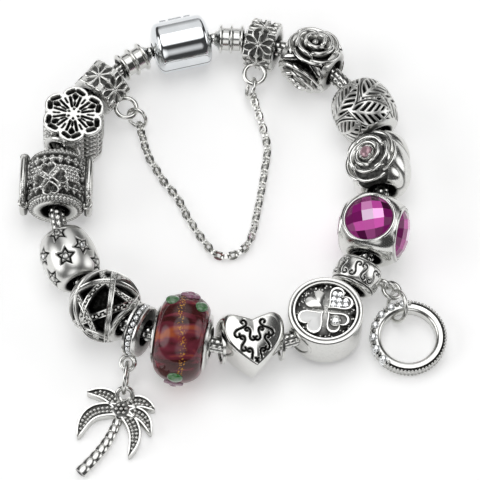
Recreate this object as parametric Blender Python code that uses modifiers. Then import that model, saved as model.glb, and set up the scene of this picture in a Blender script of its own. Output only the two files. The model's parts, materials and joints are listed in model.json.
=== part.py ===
"""Charm bracelet, lying on a surface: a snake chain with a barrel clasp, fourteen charms and a safety chain.

Metres, +Z up. Each charm is modelled at the origin with the chain along its local X and its face
along its local Z, and then set on the loop.
"""

import math
from collections import namedtuple

import bmesh
import bpy
from mathutils import Matrix, Vector

MM = 0.001
CLEAR = 0.3 * MM
WELD = 2e-7
LOOP_STEPS = 24

# The chain, and the bore that every charm slides on it with
CHAIN_RADIUS = 1.5 * MM
BORE = CHAIN_RADIUS + 0.9 * MM
CHAIN_POINTS = 42
SLEEVE = BORE + 0.6 * MM

# The clasp, its hinge and the caps that it holds
CLASP_RADIUS = 4.75 * MM
CLASP_WALL = 1.1 * MM
CLASP_END_WALL = 1.0 * MM
CLASP_END_RADIUS = 3.1 * MM
HINGE_PIN = 0.3 * MM
HINGE_RADIUS = 0.95 * MM
HINGE_LENGTH = 2.6 * MM
NECK_RADIUS = 0.95 * MM
NECK_HOLE = NECK_RADIUS + 0.5 * MM
BALL_RADIUS = 2.0 * MM
CAP_RADIUS = 2.7 * MM
CAP_DEPTH = 4.0 * MM
CAP_RIDGES = 3
CAP_RIDGE = 0.45 * MM

# The charms' own radii across the chain
STOPPER_RADIUS = 4.1 * MM
PETAL_REACH = 1.9 * MM
PETAL_DEPTH = 0.35 * MM
FREE_SIDE = -30
STOPPER_DROP = 12
FLOWER_RADIUS = 5.8 * MM
FLOWER_DEPTH = 9.6 * MM
FLOWER_PLATE = 1.2 * MM
GLOBE_RADIUS = 5.4 * MM
GLOBE_PLAIN = (1, 4)
SCROLL_REACH = 5.9 * MM
STAR_RADIUS = 5.0 * MM
STRAND_RADIUS = 6.4 * MM
SHELL_WALL = 0.9 * MM
SPACER_RADIUS = 4.8 * MM
SPACER_STONES = 12
SPACER_STONE = 0.6 * MM
SPACER_LOOP_ANGLE = 117
HANG_REACH = SPACER_RADIUS + 1.35 * MM
GLASS_RADIUS = 8.0 * MM
GLASS_LENGTH = 8.6 * MM
CORE_RADIUS = 5.2 * MM
HEART_WIDTH = 12.2 * MM
HEART_DEPTH = 8.4 * MM
HEART_FULLNESS = 0.72
DRUM_RADIUS = 6.7 * MM
DRUM_DEPTH = 7.4 * MM
DRUM_RIM = 0.7 * MM
DRUM_FLOOR = 0.6 * MM
LEAF_HEART = 3.9 * MM
LEAF_REACH = 2.42 * MM
# Where the star ball's stars and the glass bead's dots sit: degrees round the chain and along it, and the
# dots' radii in mm
STAR_PLACES = [(0, 0), (52, 28), (52, -30), (-52, 30), (-50, -28), (180, 0)]
GLASS_DOTS = [(78, 0, 1.5), (96, 19, 0.8), (66, -20, 0.8), (-78, 0, 1.5), (-96, -19, 0.8), (-66, 20, 0.8)]
HEART_TURNS = {"polished": -3, "pave": -93, "enamel": 87, "open": 177}
SCROLL_BEAD_RADIUS = 4.3 * MM
CRYSTAL_BEAD_RADIUS = 6.6 * MM
CRYSTAL_RADIUS = 4.3 * MM
CRYSTAL_SEAT = 4.2 * MM
BEZEL_WALL = 0.35 * MM
BEZEL_TOP = 4.85 * MM
CRYSTAL_TOP = 6.4 * MM
CRYSTAL_TURNS = [-5, 88, 262]
ROSE_RADIUS = 5.6 * MM
ROSE_STONE_RADIUS = 1.15 * MM
LEAF_RADIUS = 5.7 * MM
TRIPLE_ROSE_RADIUS = 5.6 * MM
TRIPLE_ROSE_TURN = 44

# Rings, and the finger-ring and palm charms
LOOP_MAJOR = 1.9 * MM
LOOP_WIRE = 0.45 * MM
JUMP_MAJOR = 1.8 * MM
JUMP_WIRE = 0.4 * MM
RING_SLACK = 0.15 * MM
SMALL_LOOP_MAJOR = 1.25 * MM
RING_LOOP_MAJOR = 1.5 * MM
RING_LOOP_ALONG = 1.2 * MM
RING_LOOP_REACH = SCROLL_BEAD_RADIUS + 1.05 * MM
RING_LOOP_ANGLE = 105
SMALL_RING_MAJOR = 1.6 * MM
LARGE_RING_MAJOR = 2.75 * MM
RING_WIRE = 0.4 * MM
BAND_INNER = 4.85 * MM
BAND_OUTER = 6.9 * MM
BAND_HEIGHT = 2.5 * MM
BAND_TILT = 5.2
LARGE_RING_LEAN = 62
PALM_THICKNESS = 1.7 * MM
LIFT = 0.02 * MM
PALM_RING_MAJOR = 2.75 * MM
BAIL_MAJOR = 1.35 * MM
BAIL_X = 0.6 * MM
BAIL_FOOT = 1.9 * MM
BAIL_LEAN = 50

# The palm: each leaf from the crown to its tip, in mm from the crown, and its bow to one side
Leaf = namedtuple("Leaf", "x y bow width")
LEAVES = [
    Leaf(-6.1, 3.4, -1.3, 2.6),
    Leaf(5.9, 0.0, 1.6, 2.6),
    Leaf(5.2, -4.6, 1.5, 2.4),
    Leaf(-7.6, -5.2, -2.4, 2.8),
    Leaf(1.4, -9.0, 1.7, 2.4),
]
TRUNK_START = (-1.2, -3.2)
TRUNK_END = (-7.2, -12.0)
TRUNK_RINGS = 7

# The safety chain, whose links lie on the surface
SAFETY_RADIUS = 0.95 * MM
CHAIN_HEIGHT = SAFETY_RADIUS + LIFT
CHAIN_DROP = 9 * MM

# One row for each place on the loop: its length along the chain, the bare chain after it, and how
# far its face is rolled outwards from straight up, in degrees
Station = namedtuple("Station", "name length gap roll")
STATIONS = [
    Station("clasp", 10.6 * MM, 0.9 * MM, 0),
    Station("cap_left", 6.0 * MM, 2.3 * MM, 0),
    Station("stopper_left", 5.6 * MM, 1.6 * MM, -20),
    Station("flower_bead", 10.8 * MM, 2.2 * MM, 0),
    Station("globe_bead", 10.4 * MM, 4.6 * MM, 0),
    Station("star_ball", 10.2 * MM, 1.3 * MM, 0),
    Station("strand_ball", 11.0 * MM, 1.3 * MM, 15),
    Station("pave_spacer", 2.6 * MM, 1.3 * MM, 0),
    Station("glass_bead", 10.6 * MM, 1.6 * MM, 20),
    Station("heart_bead", 11.2 * MM, 2.5 * MM, 10),
    Station("clover_drum", 13.4 * MM, 1.2 * MM, 0),
    Station("scroll_bead", 5.4 * MM, 1.0 * MM, 10),
    Station("crystal_bead", 11.2 * MM, 2.6 * MM, -6),
    Station("rose_bead", 10.4 * MM, 1.3 * MM, -28),
    Station("leaf_ball", 10.4 * MM, 4.5 * MM, 0),
    Station("triple_rose_bead", 9.6 * MM, 2.2 * MM, -25),
    Station("stopper_right", 5.4 * MM, 0.9 * MM, 0),
    Station("cap_right", 5.4 * MM, 0.9 * MM, 0),
]
ROWS = {row.name: row for row in STATIONS}

# The chain's route: the loop's points as it lies, chosen by hand, one near each station, in mm.
# The loop grows or shrinks as a whole with what is strung on it.
ROUTE = [
    (-10.8, 37.2, 4.95),
    (-19.3, 33.7, 4.95),
    (-25.2, 27.8, 5.0),
    (-30.2, 19.8, 5.3),
    (-33.1, 7.3, 6.0),
    (-30.3, -7.5, 5.7),
    (-23.7, -17.2, 6.6),
    (-17.5, -21.9, 7.2),
    (-9.8, -23.9, 8.35),
    (1.9, -24.6, 6.1),
    (15.4, -19.4, 5.1),
    (20.7, -10.0, 5.4),
    (24.0, -1.6, 7.15),
    (25.2, 11.9, 6.0),
    (22.4, 23.2, 5.8),
    (13.2, 33.2, 6.0),
    (3.4, 37.0, 5.0),
    (-2.1, 38.2, 4.95),
]

# The safety chain's route between its jump rings: points chosen by hand, in mm
CHAIN_ROUTE = [
    (-16.7, 16.3),
    (-15.2, 13.6),
    (-13.9, 11.2),
    (-11.2, 7.5),
    (-9.3, 3.5),
    (-7.1, -0.2),
    (-4.4, -3.7),
    (-1.6, -4.0),
    (0.9, -2.3),
    (2.3, 0.9),
    (3.0, 4.6),
    (3.8, 8.9),
    (4.5, 14.0),
    (4.8, 19.0),
]

# Finishes: name, colour, metallic, roughness
FINISHES = {
    "antiqued_silver": ((0.62, 0.62, 0.61), 1.0, 0.28),
    "polished_steel": ((0.8, 0.8, 0.8), 1.0, 0.08),
    "purple_glass": ((0.2, 0.03, 0.06), 0.0, 0.08),
    "magenta_crystal": ((0.45, 0.02, 0.2), 0.0, 0.05),
    "pink_crystal": ((0.7, 0.45, 0.5), 0.0, 0.08),
    "white_enamel": ((0.9, 0.9, 0.89), 0.0, 0.15),
}


# Collections and finishes


def clear_scene():
    for obj in list(bpy.data.objects):
        bpy.data.objects.remove(obj, do_unlink=True)


def new_collection(name):
    made = bpy.data.collections.new(name)
    bpy.context.scene.collection.children.link(made)
    return made


def finish_named(name):
    """The finish as a Principled material, made when first asked for."""
    if name in bpy.data.materials:
        return bpy.data.materials[name]
    colour, metallic, roughness = FINISHES[name]
    made = bpy.data.materials.new(name)
    made.use_nodes = True
    shader = made.node_tree.nodes["Principled BSDF"]
    shader.inputs["Base Color"].default_value = (*colour, 1)
    shader.inputs["Metallic"].default_value = metallic
    shader.inputs["Roughness"].default_value = roughness
    return made


clear_scene()
BENCH = new_collection("bench")
BRACELET = new_collection("charm_bracelet")


# Shapes, each a mesh object on the bench


def on_bench(data, name="shape"):
    obj = bpy.data.objects.new(name, data)
    BENCH.objects.link(obj)
    return obj


def welded(mesh):
    """The mesh with its doubles merged, its open rims filled and its faces turned outwards."""
    work = bmesh.new()
    work.from_mesh(mesh)
    bmesh.ops.remove_doubles(work, verts=work.verts, dist=WELD)
    rims = [edge for edge in work.edges if edge.is_boundary]
    if rims:
        bmesh.ops.holes_fill(work, edges=rims)
    bmesh.ops.recalc_face_normals(work, faces=work.faces)
    work.to_mesh(mesh)
    work.free()
    return mesh


def baked(obj):
    """A plain mesh object with what the modifiers or the curve of obj make, in obj's place."""
    bpy.context.view_layer.update()
    graph = bpy.context.evaluated_depsgraph_get()
    mesh = bpy.data.meshes.new_from_object(obj.evaluated_get(graph))
    mesh.transform(obj.matrix_world)
    bpy.data.objects.remove(obj, do_unlink=True)
    return on_bench(welded(mesh))


def turned(profile, sides=14, axis="X", ring=True):
    """A profile of (along, radius) pairs turned about an axis. A ring's profile is closed."""
    count = len(profile)
    if axis == "X":
        points = [(along, 0, radius) for along, radius in profile]
    else:
        points = [(radius, 0, along) for along, radius in profile]
    edges = [(i, (i + 1) % count) for i in range(count if ring else count - 1)]
    mesh = bpy.data.meshes.new("profile")
    mesh.from_pydata(points, edges, [])
    obj = on_bench(mesh)
    screw = obj.modifiers.new("turn", "SCREW")
    screw.axis = axis
    screw.steps = sides
    screw.render_steps = sides
    screw.use_merge_vertices = True
    screw.merge_threshold = 1e-6
    return baked(obj)


def tube(points, radius, closed=False, resolution=1):
    """A wire along the points, six-sided at resolution 1."""
    curve = bpy.data.curves.new("wire", "CURVE")
    curve.dimensions = "3D"
    curve.bevel_depth = radius
    curve.bevel_resolution = resolution
    curve.use_fill_caps = not closed
    spline = curve.splines.new("POLY")
    spline.points.add(len(points) - 1)
    spline.use_cyclic_u = closed
    for slot, point in zip(spline.points, points):
        slot.co = (*point, 1)
    return baked(on_bench(curve))


def ring(major, wire, count=12, sides=5):
    """A round wire ring in the XY plane."""
    bpy.ops.mesh.primitive_torus_add(
        major_radius=major, minor_radius=wire, major_segments=count, minor_segments=sides
    )
    made = bpy.context.active_object
    mesh = made.data
    bpy.data.objects.remove(made)
    return on_bench(mesh)


def plate(outline, bottom, top, holes=()):
    """A flat outline of (x, y) pairs, with holes, between two heights."""
    curve = bpy.data.curves.new("outline", "CURVE")
    curve.dimensions = "2D"
    curve.fill_mode = "BOTH"
    curve.extrude = (top - bottom) / 2
    for loop in [outline, *holes]:
        spline = curve.splines.new("POLY")
        spline.points.add(len(loop) - 1)
        spline.use_cyclic_u = True
        for slot, (x, y) in zip(spline.points, loop):
            slot.co = (x, y, 0, 1)
    obj = on_bench(curve)
    obj.location.z = (top + bottom) / 2
    return baked(obj)


def ball(radii, segments=12, rings=8):
    work = bmesh.new()
    bmesh.ops.create_uvsphere(work, u_segments=segments, v_segments=rings, radius=1)
    bmesh.ops.scale(work, vec=radii, verts=work.verts)
    mesh = bpy.data.meshes.new("ball")
    work.to_mesh(mesh)
    work.free()
    return on_bench(mesh)


def cone(bottom, top, height, segments=8):
    """A cone or cylinder that stands on the XY plane."""
    work = bmesh.new()
    bmesh.ops.create_cone(
        work, cap_ends=True, segments=segments, radius1=bottom, radius2=top, depth=height
    )
    bmesh.ops.translate(work, vec=(0, 0, height / 2), verts=work.verts)
    mesh = bpy.data.meshes.new("cone")
    work.to_mesh(mesh)
    work.free()
    return on_bench(mesh)


def block(x, y, z):
    """A box given by its (low, high) along each axis."""
    work = bmesh.new()
    bmesh.ops.create_cube(work, size=1)
    size = (x[1] - x[0], y[1] - y[0], z[1] - z[0])
    bmesh.ops.scale(work, vec=size, verts=work.verts)
    middle = (sum(x) / 2, sum(y) / 2, sum(z) / 2)
    bmesh.ops.translate(work, vec=middle, verts=work.verts)
    mesh = bpy.data.meshes.new("block")
    work.to_mesh(mesh)
    work.free()
    return on_bench(mesh)


def gem(radius, height, sides=8, table=0.6):
    """A cut stone: a table, a crown of facets and a pavilion, its girdle at the XY plane."""
    crown = 0.4 * height
    profile = [(-0.6 * height, 0.25 * radius), (0, radius), (crown, table * radius)]
    return turned(profile, sides, "Z", ring=False)


def lofted(outline, rows):
    """A solid through the outline at each (height, scale) row, capped at both ends."""
    work = bmesh.new()
    loops = []
    for height, scale in rows:
        loops.append([work.verts.new((x * scale, y * scale, height)) for x, y in outline])
    count = len(outline)
    for low, high in zip(loops, loops[1:]):
        for i in range(count):
            j = (i + 1) % count
            work.faces.new((low[i], low[j], high[j], high[i]))
    work.faces.new(loops[0])
    work.faces.new(loops[-1])
    mesh = bpy.data.meshes.new("loft")
    work.to_mesh(mesh)
    work.free()
    return on_bench(welded(mesh))


def moved(obj, matrix):
    obj.data.transform(matrix)
    if matrix.determinant() < 0:
        obj.data.flip_normals()
    return obj


def shift(x=0, y=0, z=0):
    return Matrix.Translation((x, y, z))


def turn(degrees, axis):
    return Matrix.Rotation(math.radians(degrees), 4, axis)


def solved(obj, others, operation):
    """The Boolean of obj with each of the others in turn."""
    for other in others:
        change = obj.modifiers.new(operation.lower(), "BOOLEAN")
        change.operation = operation
        change.solver = "EXACT"
        change.object = other
    result = baked(obj)
    for other in others:
        bpy.data.objects.remove(other, do_unlink=True)
    return result


def joined(obj, *others):
    return solved(obj, others, "UNION")


def cut(obj, *others):
    return solved(obj, others, "DIFFERENCE")


def together(shapes):
    """Shapes that don't touch each other, as one mesh."""
    work = bmesh.new()
    for shape in shapes:
        work.from_mesh(shape.data)
        bpy.data.objects.remove(shape, do_unlink=True)
    mesh = bpy.data.meshes.new("shapes")
    work.to_mesh(mesh)
    work.free()
    return on_bench(mesh)


def outwards(obj, radius, around, along):
    """Moves a shape that stands on the XY plane to stand on a ball: around X, then along X."""
    return moved(obj, turn(around, "X") @ turn(along, "Y") @ shift(z=radius))


# Outlines, as lists of (x, y)


def heart(width, count=16):
    """The sine-cosine heart curve with its point towards -Y, centred, width wide."""
    points = []
    for i in range(count):
        a = 2 * math.pi * (i + 0.5) / count
        x = 16 * math.sin(a) ** 3
        y = 13 * math.cos(a) - 5 * math.cos(2 * a) - 2 * math.cos(3 * a) - math.cos(4 * a)
        points.append((x * width / 32, (y + 2.5) * width / 32))
    return points


def star(radius, inner=0.42):
    points = []
    for i in range(10):
        a = math.pi * (0.5 + i / 5)
        reach = radius if i % 2 == 0 else inner * radius
        points.append((reach * math.cos(a), reach * math.sin(a)))
    return points


def drop(start, end, width, direction):
    """A teardrop hole between two radii, as four corners, pointed inwards."""
    corners = [(start, 0), (end - 0.5 * width, -0.5 * width), (end, 0), (end - 0.5 * width, 0.5 * width)]
    c, s = math.cos(direction), math.sin(direction)
    return [(x * c - y * s, x * s + y * c) for x, y in corners]


# The loop


def eased(a, b, c, d, t):
    """A point between b and c on the smooth curve through a, b, c and d."""
    return 0.5 * (2 * b + (c - a) * t + (2 * a - 5 * b + 4 * c - d) * t**2 + (3 * (b - c) + d - a) * t**3)


def spline_point(points, place):
    """A point of the closed curve through the points, at place counted in points."""
    i = math.floor(place)
    a, b, c, d = (Vector(points[(i + k) % len(points)]) for k in (-1, 0, 1, 2))
    return eased(a, b, c, d, place - i)


def loop_table():
    """(distance, point) along the closed route, grown sideways so that all stations just fill it."""
    count = len(ROUTE) * LOOP_STEPS
    points = [spline_point(ROUTE, i / LOOP_STEPS) * MM for i in range(count + 1)]
    lengths = [(b - a).length for a, b in zip(points, points[1:])]
    grow = sum(row.length + row.gap for row in STATIONS) / sum(lengths)
    middle = sum(points, Vector((0, 0, 0))) / len(points)
    table = []
    distance = 0
    for point, length in zip(points, [*lengths, 0]):
        wide = middle + (point - middle) * grow
        table.append((distance * grow, Vector((wide.x, wide.y, point.z))))
        distance += length
    return table


TABLE = loop_table()
AROUND = TABLE[-1][0]


def route_point(distance):
    """The loop's point at a distance along it."""
    distance %= AROUND
    low, high = 0, len(TABLE) - 1
    while high - low > 1:
        middle = (low + high) // 2
        if TABLE[middle][0] <= distance:
            low = middle
        else:
            high = middle
    share = (distance - TABLE[low][0]) / (TABLE[high][0] - TABLE[low][0])
    return TABLE[low][1].lerp(TABLE[high][1], share)


def starts():
    """Where each station starts along the loop. The clasp's middle is at the route's first point."""
    found = {}
    distance = -ROWS["clasp"].length / 2
    for row in STATIONS:
        found[row.name] = distance
        distance += row.length + row.gap
    return found


STARTS = starts()


def upright(centre, ahead):
    """A frame at centre with X towards ahead, Y level and to its left, and Z up."""
    x = ahead.normalized()
    y = Vector((0, 0, 1)).cross(x).normalized()
    axes = Matrix((x, y, x.cross(y))).transposed().to_4x4()
    return Matrix.Translation(centre) @ axes


def station_frame(name):
    """The matrix that takes a charm from the origin to its station."""
    row = ROWS[name]
    start = route_point(STARTS[name])
    end = route_point(STARTS[name] + row.length)
    middle = ((start + end) / 2 + route_point(STARTS[name] + row.length / 2)) / 2
    return upright(middle, end - start) @ turn(row.roll, "X")


def placed(obj, name, finish, matrix):
    """The finished sub-part, named, coloured and set in its place."""
    obj.name = name
    obj.data.name = name
    obj.data.materials.clear()
    obj.data.materials.append(finish_named(finish))
    obj.data.shade_smooth()
    obj.data.set_sharp_from_angle(angle=math.radians(35))
    obj.matrix_world = matrix
    BENCH.objects.unlink(obj)
    BRACELET.objects.link(obj)
    return obj


def bead(length, radius, end, bore=BORE, power=2.0, rings=6, sides=14):
    """A bored bead: its radius swells from end at the rims to radius at the middle."""
    profile = []
    for i in range(rings + 1):
        x = 2 * i / rings - 1
        swell = (1 - abs(x) ** power) ** (1 / power)
        profile.append((x * length / 2, end + (radius - end) * swell))
    return turned([(-length / 2, bore), *profile, (length / 2, bore)], sides)


def shell(length, radius, end, wall=SHELL_WALL, rings=6, sides=14):
    """A hollow bead, open at its bore."""
    outer = []
    inner = []
    for i in range(rings + 1):
        x = 2 * i / rings - 1
        swell = (1 - x * x) ** 0.5
        outer.append((x * length / 2, end + (radius - end) * swell))
        inner.append((x * (length / 2 - wall), BORE + (radius - wall - BORE) * swell))
    inner[0] = (-length / 2 + wall, BORE + 0.2 * MM)
    inner[-1] = (length / 2 - wall, BORE + 0.2 * MM)
    rim = [(length / 2, BORE), *reversed(inner), (-length / 2, BORE)]
    return turned([*outer, *rim], sides)


# The charms, each in its own frame


def bore_cutter():
    """What cuts the chain's way through a charm."""
    reach = 15 * MM
    return moved(cone(BORE, BORE, 2 * reach, 10), shift(x=-reach) @ turn(90, "Y"))


def clasp_half(lid):
    """Half of the barrel: the lower half carries the pin, the upper half the two end knuckles."""
    half = ROWS["clasp"].length / 2
    slope = half - CLASP_END_WALL
    band = half - 1.5 * CLASP_END_WALL
    inner = CLASP_RADIUS - CLASP_WALL
    profile = [
        (-half, NECK_HOLE),
        (-half, CLASP_END_RADIUS),
        (-slope, CLASP_RADIUS - 0.35 * MM),
        (-band, CLASP_RADIUS),
        (band, CLASP_RADIUS),
        (slope, CLASP_RADIUS - 0.35 * MM),
        (half, CLASP_END_RADIUS),
        (half, NECK_HOLE),
        (slope, NECK_HOLE),
        (slope, inner - 0.9 * MM),
        (slope - CLASP_WALL, inner),
        (-slope + CLASP_WALL, inner),
        (-slope, inner - 0.9 * MM),
        (-slope, NECK_HOLE),
    ]
    barrel = turned(profile, 20)
    wide = 2 * CLASP_RADIUS
    seam = CLEAR / 2
    away = block((-wide, wide), (-wide, wide), (-wide, seam) if lid else (-seam, wide))
    barrel = cut(barrel, away)
    middle = HINGE_LENGTH / 2
    outer = middle + CLEAR + HINGE_LENGTH / 2
    to_hinge = shift(y=-CLASP_RADIUS) @ turn(90, "Y")
    relief = HINGE_RADIUS + CLEAR

    def rod(radius, low, high, sides=10):
        return moved(cone(radius, radius, high - low, sides), to_hinge @ shift(z=low))

    if lid:
        barrel = cut(barrel, rod(relief, -middle - CLEAR, middle + CLEAR))
        left = rod(HINGE_RADIUS, -outer, -middle - CLEAR)
        right = rod(HINGE_RADIUS, middle + CLEAR, outer)
        barrel = joined(barrel, left, right)
        return cut(barrel, rod(HINGE_PIN + CLEAR, -outer - CLEAR, outer + CLEAR))
    left = rod(relief, -outer - CLEAR, -middle)
    right = rod(relief, middle, outer + CLEAR)
    barrel = cut(barrel, left, right)
    return joined(barrel, rod(HINGE_RADIUS, -middle, middle), rod(HINGE_PIN, -outer, outer, 6))


def cap(name, end):
    """A ridged sleeve over the chain's end, whose neck runs to a ball inside the clasp.

    end is +1 where the clasp lies beyond the sleeve's +X end, and -1 at the other.
    """
    half = ROWS[name].length / 2
    profile = [(-half, CHAIN_RADIUS + CLEAR)]
    step = 1.4 * half / CAP_RIDGES
    for i in range(CAP_RIDGES):
        low = -half + i * step
        profile.append((low, CAP_RADIUS - CAP_RIDGE))
        profile.append((low + 0.3 * step, CAP_RADIUS))
        profile.append((low + 0.8 * step, CAP_RADIUS))
    profile.append((0.45 * half, CAP_RADIUS - CAP_RIDGE))
    profile.append((half, NECK_RADIUS + 0.3 * MM))
    sleeve = turned(profile, 10, ring=False)
    socket = cone(CHAIN_RADIUS + CLEAR, CHAIN_RADIUS + CLEAR, 2 * CAP_DEPTH, 10)
    sleeve = cut(sleeve, moved(socket, shift(x=-half - CAP_DEPTH + CLEAR) @ turn(90, "Y")))
    sleeve = moved(sleeve, turn(0 if end > 0 else 180, "Z"))
    into = station_frame(name).inverted() @ station_frame("clasp")
    mouth = -end * ROWS["clasp"].length / 2
    seat = -end * (ROWS["clasp"].length / 2 - CLASP_END_WALL - CLEAR - BALL_RADIUS)
    centre = into @ Vector((seat, 0, 0))
    route = [Vector((end * (half - 0.6 * MM), 0, 0)), into @ Vector((mouth - end * 0.1 * MM, 0, 0)), centre]
    held = moved(ball((BALL_RADIUS,) * 3, 8, 6), Matrix.Translation(centre))
    return joined(sleeve, tube(route, NECK_RADIUS), held)


def stopper(name):
    """A six-sided sleeve with a daisy sunk in each side, and a fixed loop towards the inside."""
    half = ROWS[name].length / 2
    bevel = 0.5 * MM
    corner = STOPPER_RADIUS / math.cos(math.pi / 6) * 0.97
    profile = [
        (-half, BORE),
        (-half, corner - bevel),
        (-half + bevel, corner),
        (half - bevel, corner),
        (half, corner - bevel),
        (half, BORE),
    ]
    body = turned(profile, 6)
    sunk = []
    for side in range(5):
        face = turn(60 * side + FREE_SIDE, "X") @ shift(z=corner * math.cos(math.pi / 6) - PETAL_DEPTH)
        for petal in range(8):
            hole = plate(petal_hole(0.55 * MM, PETAL_REACH, 0.9 * MM, math.pi * (petal + 0.5) / 4), 0, MM)
            sunk.append(moved(hole, face))
    body = cut(body, together(sunk))
    reach = STOPPER_RADIUS + LOOP_MAJOR - 0.25 * MM
    loop = moved(ring(LOOP_MAJOR, LOOP_WIRE), turn(-loop_fall(name), "X") @ shift(y=reach))
    return joined(body, loop)


def loop_fall(name):
    """How far a stopper's loop falls from its own Y axis, so that it hangs the same in the world."""
    return STOPPER_DROP + ROWS[name].roll


def petal_hole(start, end, width, direction):
    """A daisy's petal as a triangle, pointed inwards."""
    corners = [(start, 0), (end, -0.5 * width), (end, 0.5 * width)]
    c, s = math.cos(direction), math.sin(direction)
    return [(x * c - y * s, x * s + y * c) for x, y in corners]


def flower_outline(radius, count=6):
    """Six rounded petals with valleys on the X axis."""
    points = []
    for i in range(count * 4):
        a = 2 * math.pi * i / (count * 4)
        reach = radius * (0.8 + 0.2 * abs(math.sin(count * a / 2)) ** 0.6)
        points.append((reach * math.cos(a), reach * math.sin(a)))
    return points


def flower_bead():
    """Two pierced flower plates held apart by collars at the bore and posts at the petals."""
    half = FLOWER_DEPTH / 2
    inside = half - FLOWER_PLATE
    slots = []
    petals = []
    for i in range(6):
        a = math.radians(30 + 60 * i)
        petals.append(petal_hole(2.4 * MM, 3.9 * MM, 1.0 * MM, a))
        for side in (-0.36, 0.36):
            slots.append(petal_hole(1.5 * MM, 4.6 * MM, 0.7 * MM, a + side))
    outline = flower_outline(FLOWER_RADIUS)
    top = plate(outline, inside, half, [*slots, *petals])
    low = plate(outline, -half, -inside)
    collar = ROWS["flower_bead"].length / 2 - 0.6 * MM
    reach = inside + 0.4 * MM
    parts = [low]
    for side in (-1, 1):
        hoop = turned([(-0.6 * MM, BORE), (-0.6 * MM, reach), (0.6 * MM, reach), (0.6 * MM, BORE)], 10)
        parts.append(moved(hoop, shift(x=side * collar)))
        for along in (-1.9 * MM, 1.9 * MM):
            post = cone(0.6 * MM, 0.6 * MM, 2 * half - FLOWER_PLATE, 5)
            rim = side * (FLOWER_RADIUS - 1.1 * MM)
            parts.append(moved(post, shift(along, rim, -half + FLOWER_PLATE / 2)))
    return joined(top, *parts)


def globe_bead():
    """An openwork globe between two collars, with a frame of scrolls at each side."""
    length = ROWS["globe_bead"].length
    body = shell(length, GLOBE_RADIUS, SLEEVE + 0.3 * MM, rings=4, sides=12)
    gaps = []
    for i in range(6):
        opening = plate(heart(3.0 * MM, 5), -2.2 * MM, 2 * MM)
        gaps.append(outwards(opening, GLOBE_RADIUS, 60 * i, -14))
        if i in GLOBE_PLAIN:
            continue
        other = plate(drop(-1.5 * MM, 1.4 * MM, 1.6 * MM, math.pi), -2.2 * MM, 2 * MM)
        gaps.append(outwards(other, GLOBE_RADIUS, 60 * i + 30, 22))
    body = cut(body, together(gaps))
    for side in (-1, 1):
        reach = side * SCROLL_REACH
        rail = [(x * MM, reach, z * MM) for x, z in ((-4.4, 2.4), (-3, 3.2), (0, 3.4), (3, 2.6), (4.6, 0.6))]
        rail += [(4.9 * MM, reach, -1.2 * MM), (3.8 * MM, reach, -2.6 * MM), (2.4 * MM, reach, -1.8 * MM)]
        low = [(x * MM, reach, z * MM) for x, z in ((-4.4, 2.4), (-5.2, 0.8), (-4.9, -1.2), (-3, -2.4))]
        low += [(0, reach, -3.0 * MM), (2.4 * MM, reach, -1.8 * MM)]
        arms = []
        for z in (-2.9 * MM, 3.3 * MM):
            arms.append(tube([(0, side * 3.4 * MM, z * 0.9), (0, reach, z)], 0.5 * MM))
        body = joined(body, tube(rail, 0.55 * MM), tube(low, 0.55 * MM), *arms)
        knob = moved(ball((0.9 * MM,) * 3, 8, 6), shift(-4.4 * MM, reach, 2.4 * MM))
        body = joined(body, knob)
    return body


def star_ball():
    """A ball with eight sunk stars, each with a small stone."""
    body = bead(ROWS["star_ball"].length, STAR_RADIUS, SLEEVE, rings=6, sides=12)
    sunk = []
    stones = []
    for around, along in STAR_PLACES:
        hole = plate(star(1.25 * MM), -0.4 * MM, 1 * MM)
        depth = 0.25 * MM if along else 0
        sunk.append(outwards(hole, STAR_RADIUS - depth, around, along))
        stones.append(outwards(gem(0.42 * MM, 0.9 * MM, 5), STAR_RADIUS - depth - 0.25 * MM, around, along))
    return joined(cut(body, together(sunk)), together(stones))


def strand_ball():
    """A see-through ball of crossing bands: a shell with rows of slanting gaps."""
    body = shell(ROWS["strand_ball"].length, STRAND_RADIUS, SLEEVE + 0.2 * MM, rings=6, sides=12)
    gaps = []
    for i in range(6):
        for along, width, lean in ((0, 3.2, 20), (37, 2.6, -25), (-37, 2.6, 40)):
            size = width * MM
            outline = [(-0.5 * size, -0.28 * size), (0.5 * size, -0.5 * size), (0.42 * size, 0.5 * size)]
            opening = plate([*outline, (-0.45 * size, 0.3 * size)], -2.4 * MM, 2 * MM)
            opening = moved(opening, turn(lean, "Z"))
            gaps.append(outwards(opening, STRAND_RADIUS, 60 * i + 0.4 * along, along))
    return cut(body, together(gaps))


def pave_spacer():
    """A narrow ring with a row of set stones round its rim and the loop that the palm hangs from."""
    half = ROWS["pave_spacer"].length / 2
    edge = 0.4 * MM
    profile = [
        (-half, BORE),
        (-half, SPACER_RADIUS - edge),
        (-half + edge, SPACER_RADIUS),
        (half - edge, SPACER_RADIUS),
        (half, SPACER_RADIUS - edge),
        (half, BORE),
    ]
    body = turned(profile, 14)
    stones = []
    for i in range(SPACER_STONES):
        angle = SPACER_LOOP_ANGLE + 360 * (i + 0.5) / SPACER_STONES
        stone = moved(gem(SPACER_STONE, 0.9 * MM, 5), turn(angle, "X") @ shift(z=SPACER_RADIUS))
        stones.append(stone)
    loop = moved(ring(SMALL_LOOP_MAJOR, LOOP_WIRE, 10), shift(z=HANG_REACH) @ turn(90, "X"))
    return joined(body, together(stones), moved(loop, turn(SPACER_LOOP_ANGLE, "X")))


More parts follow.
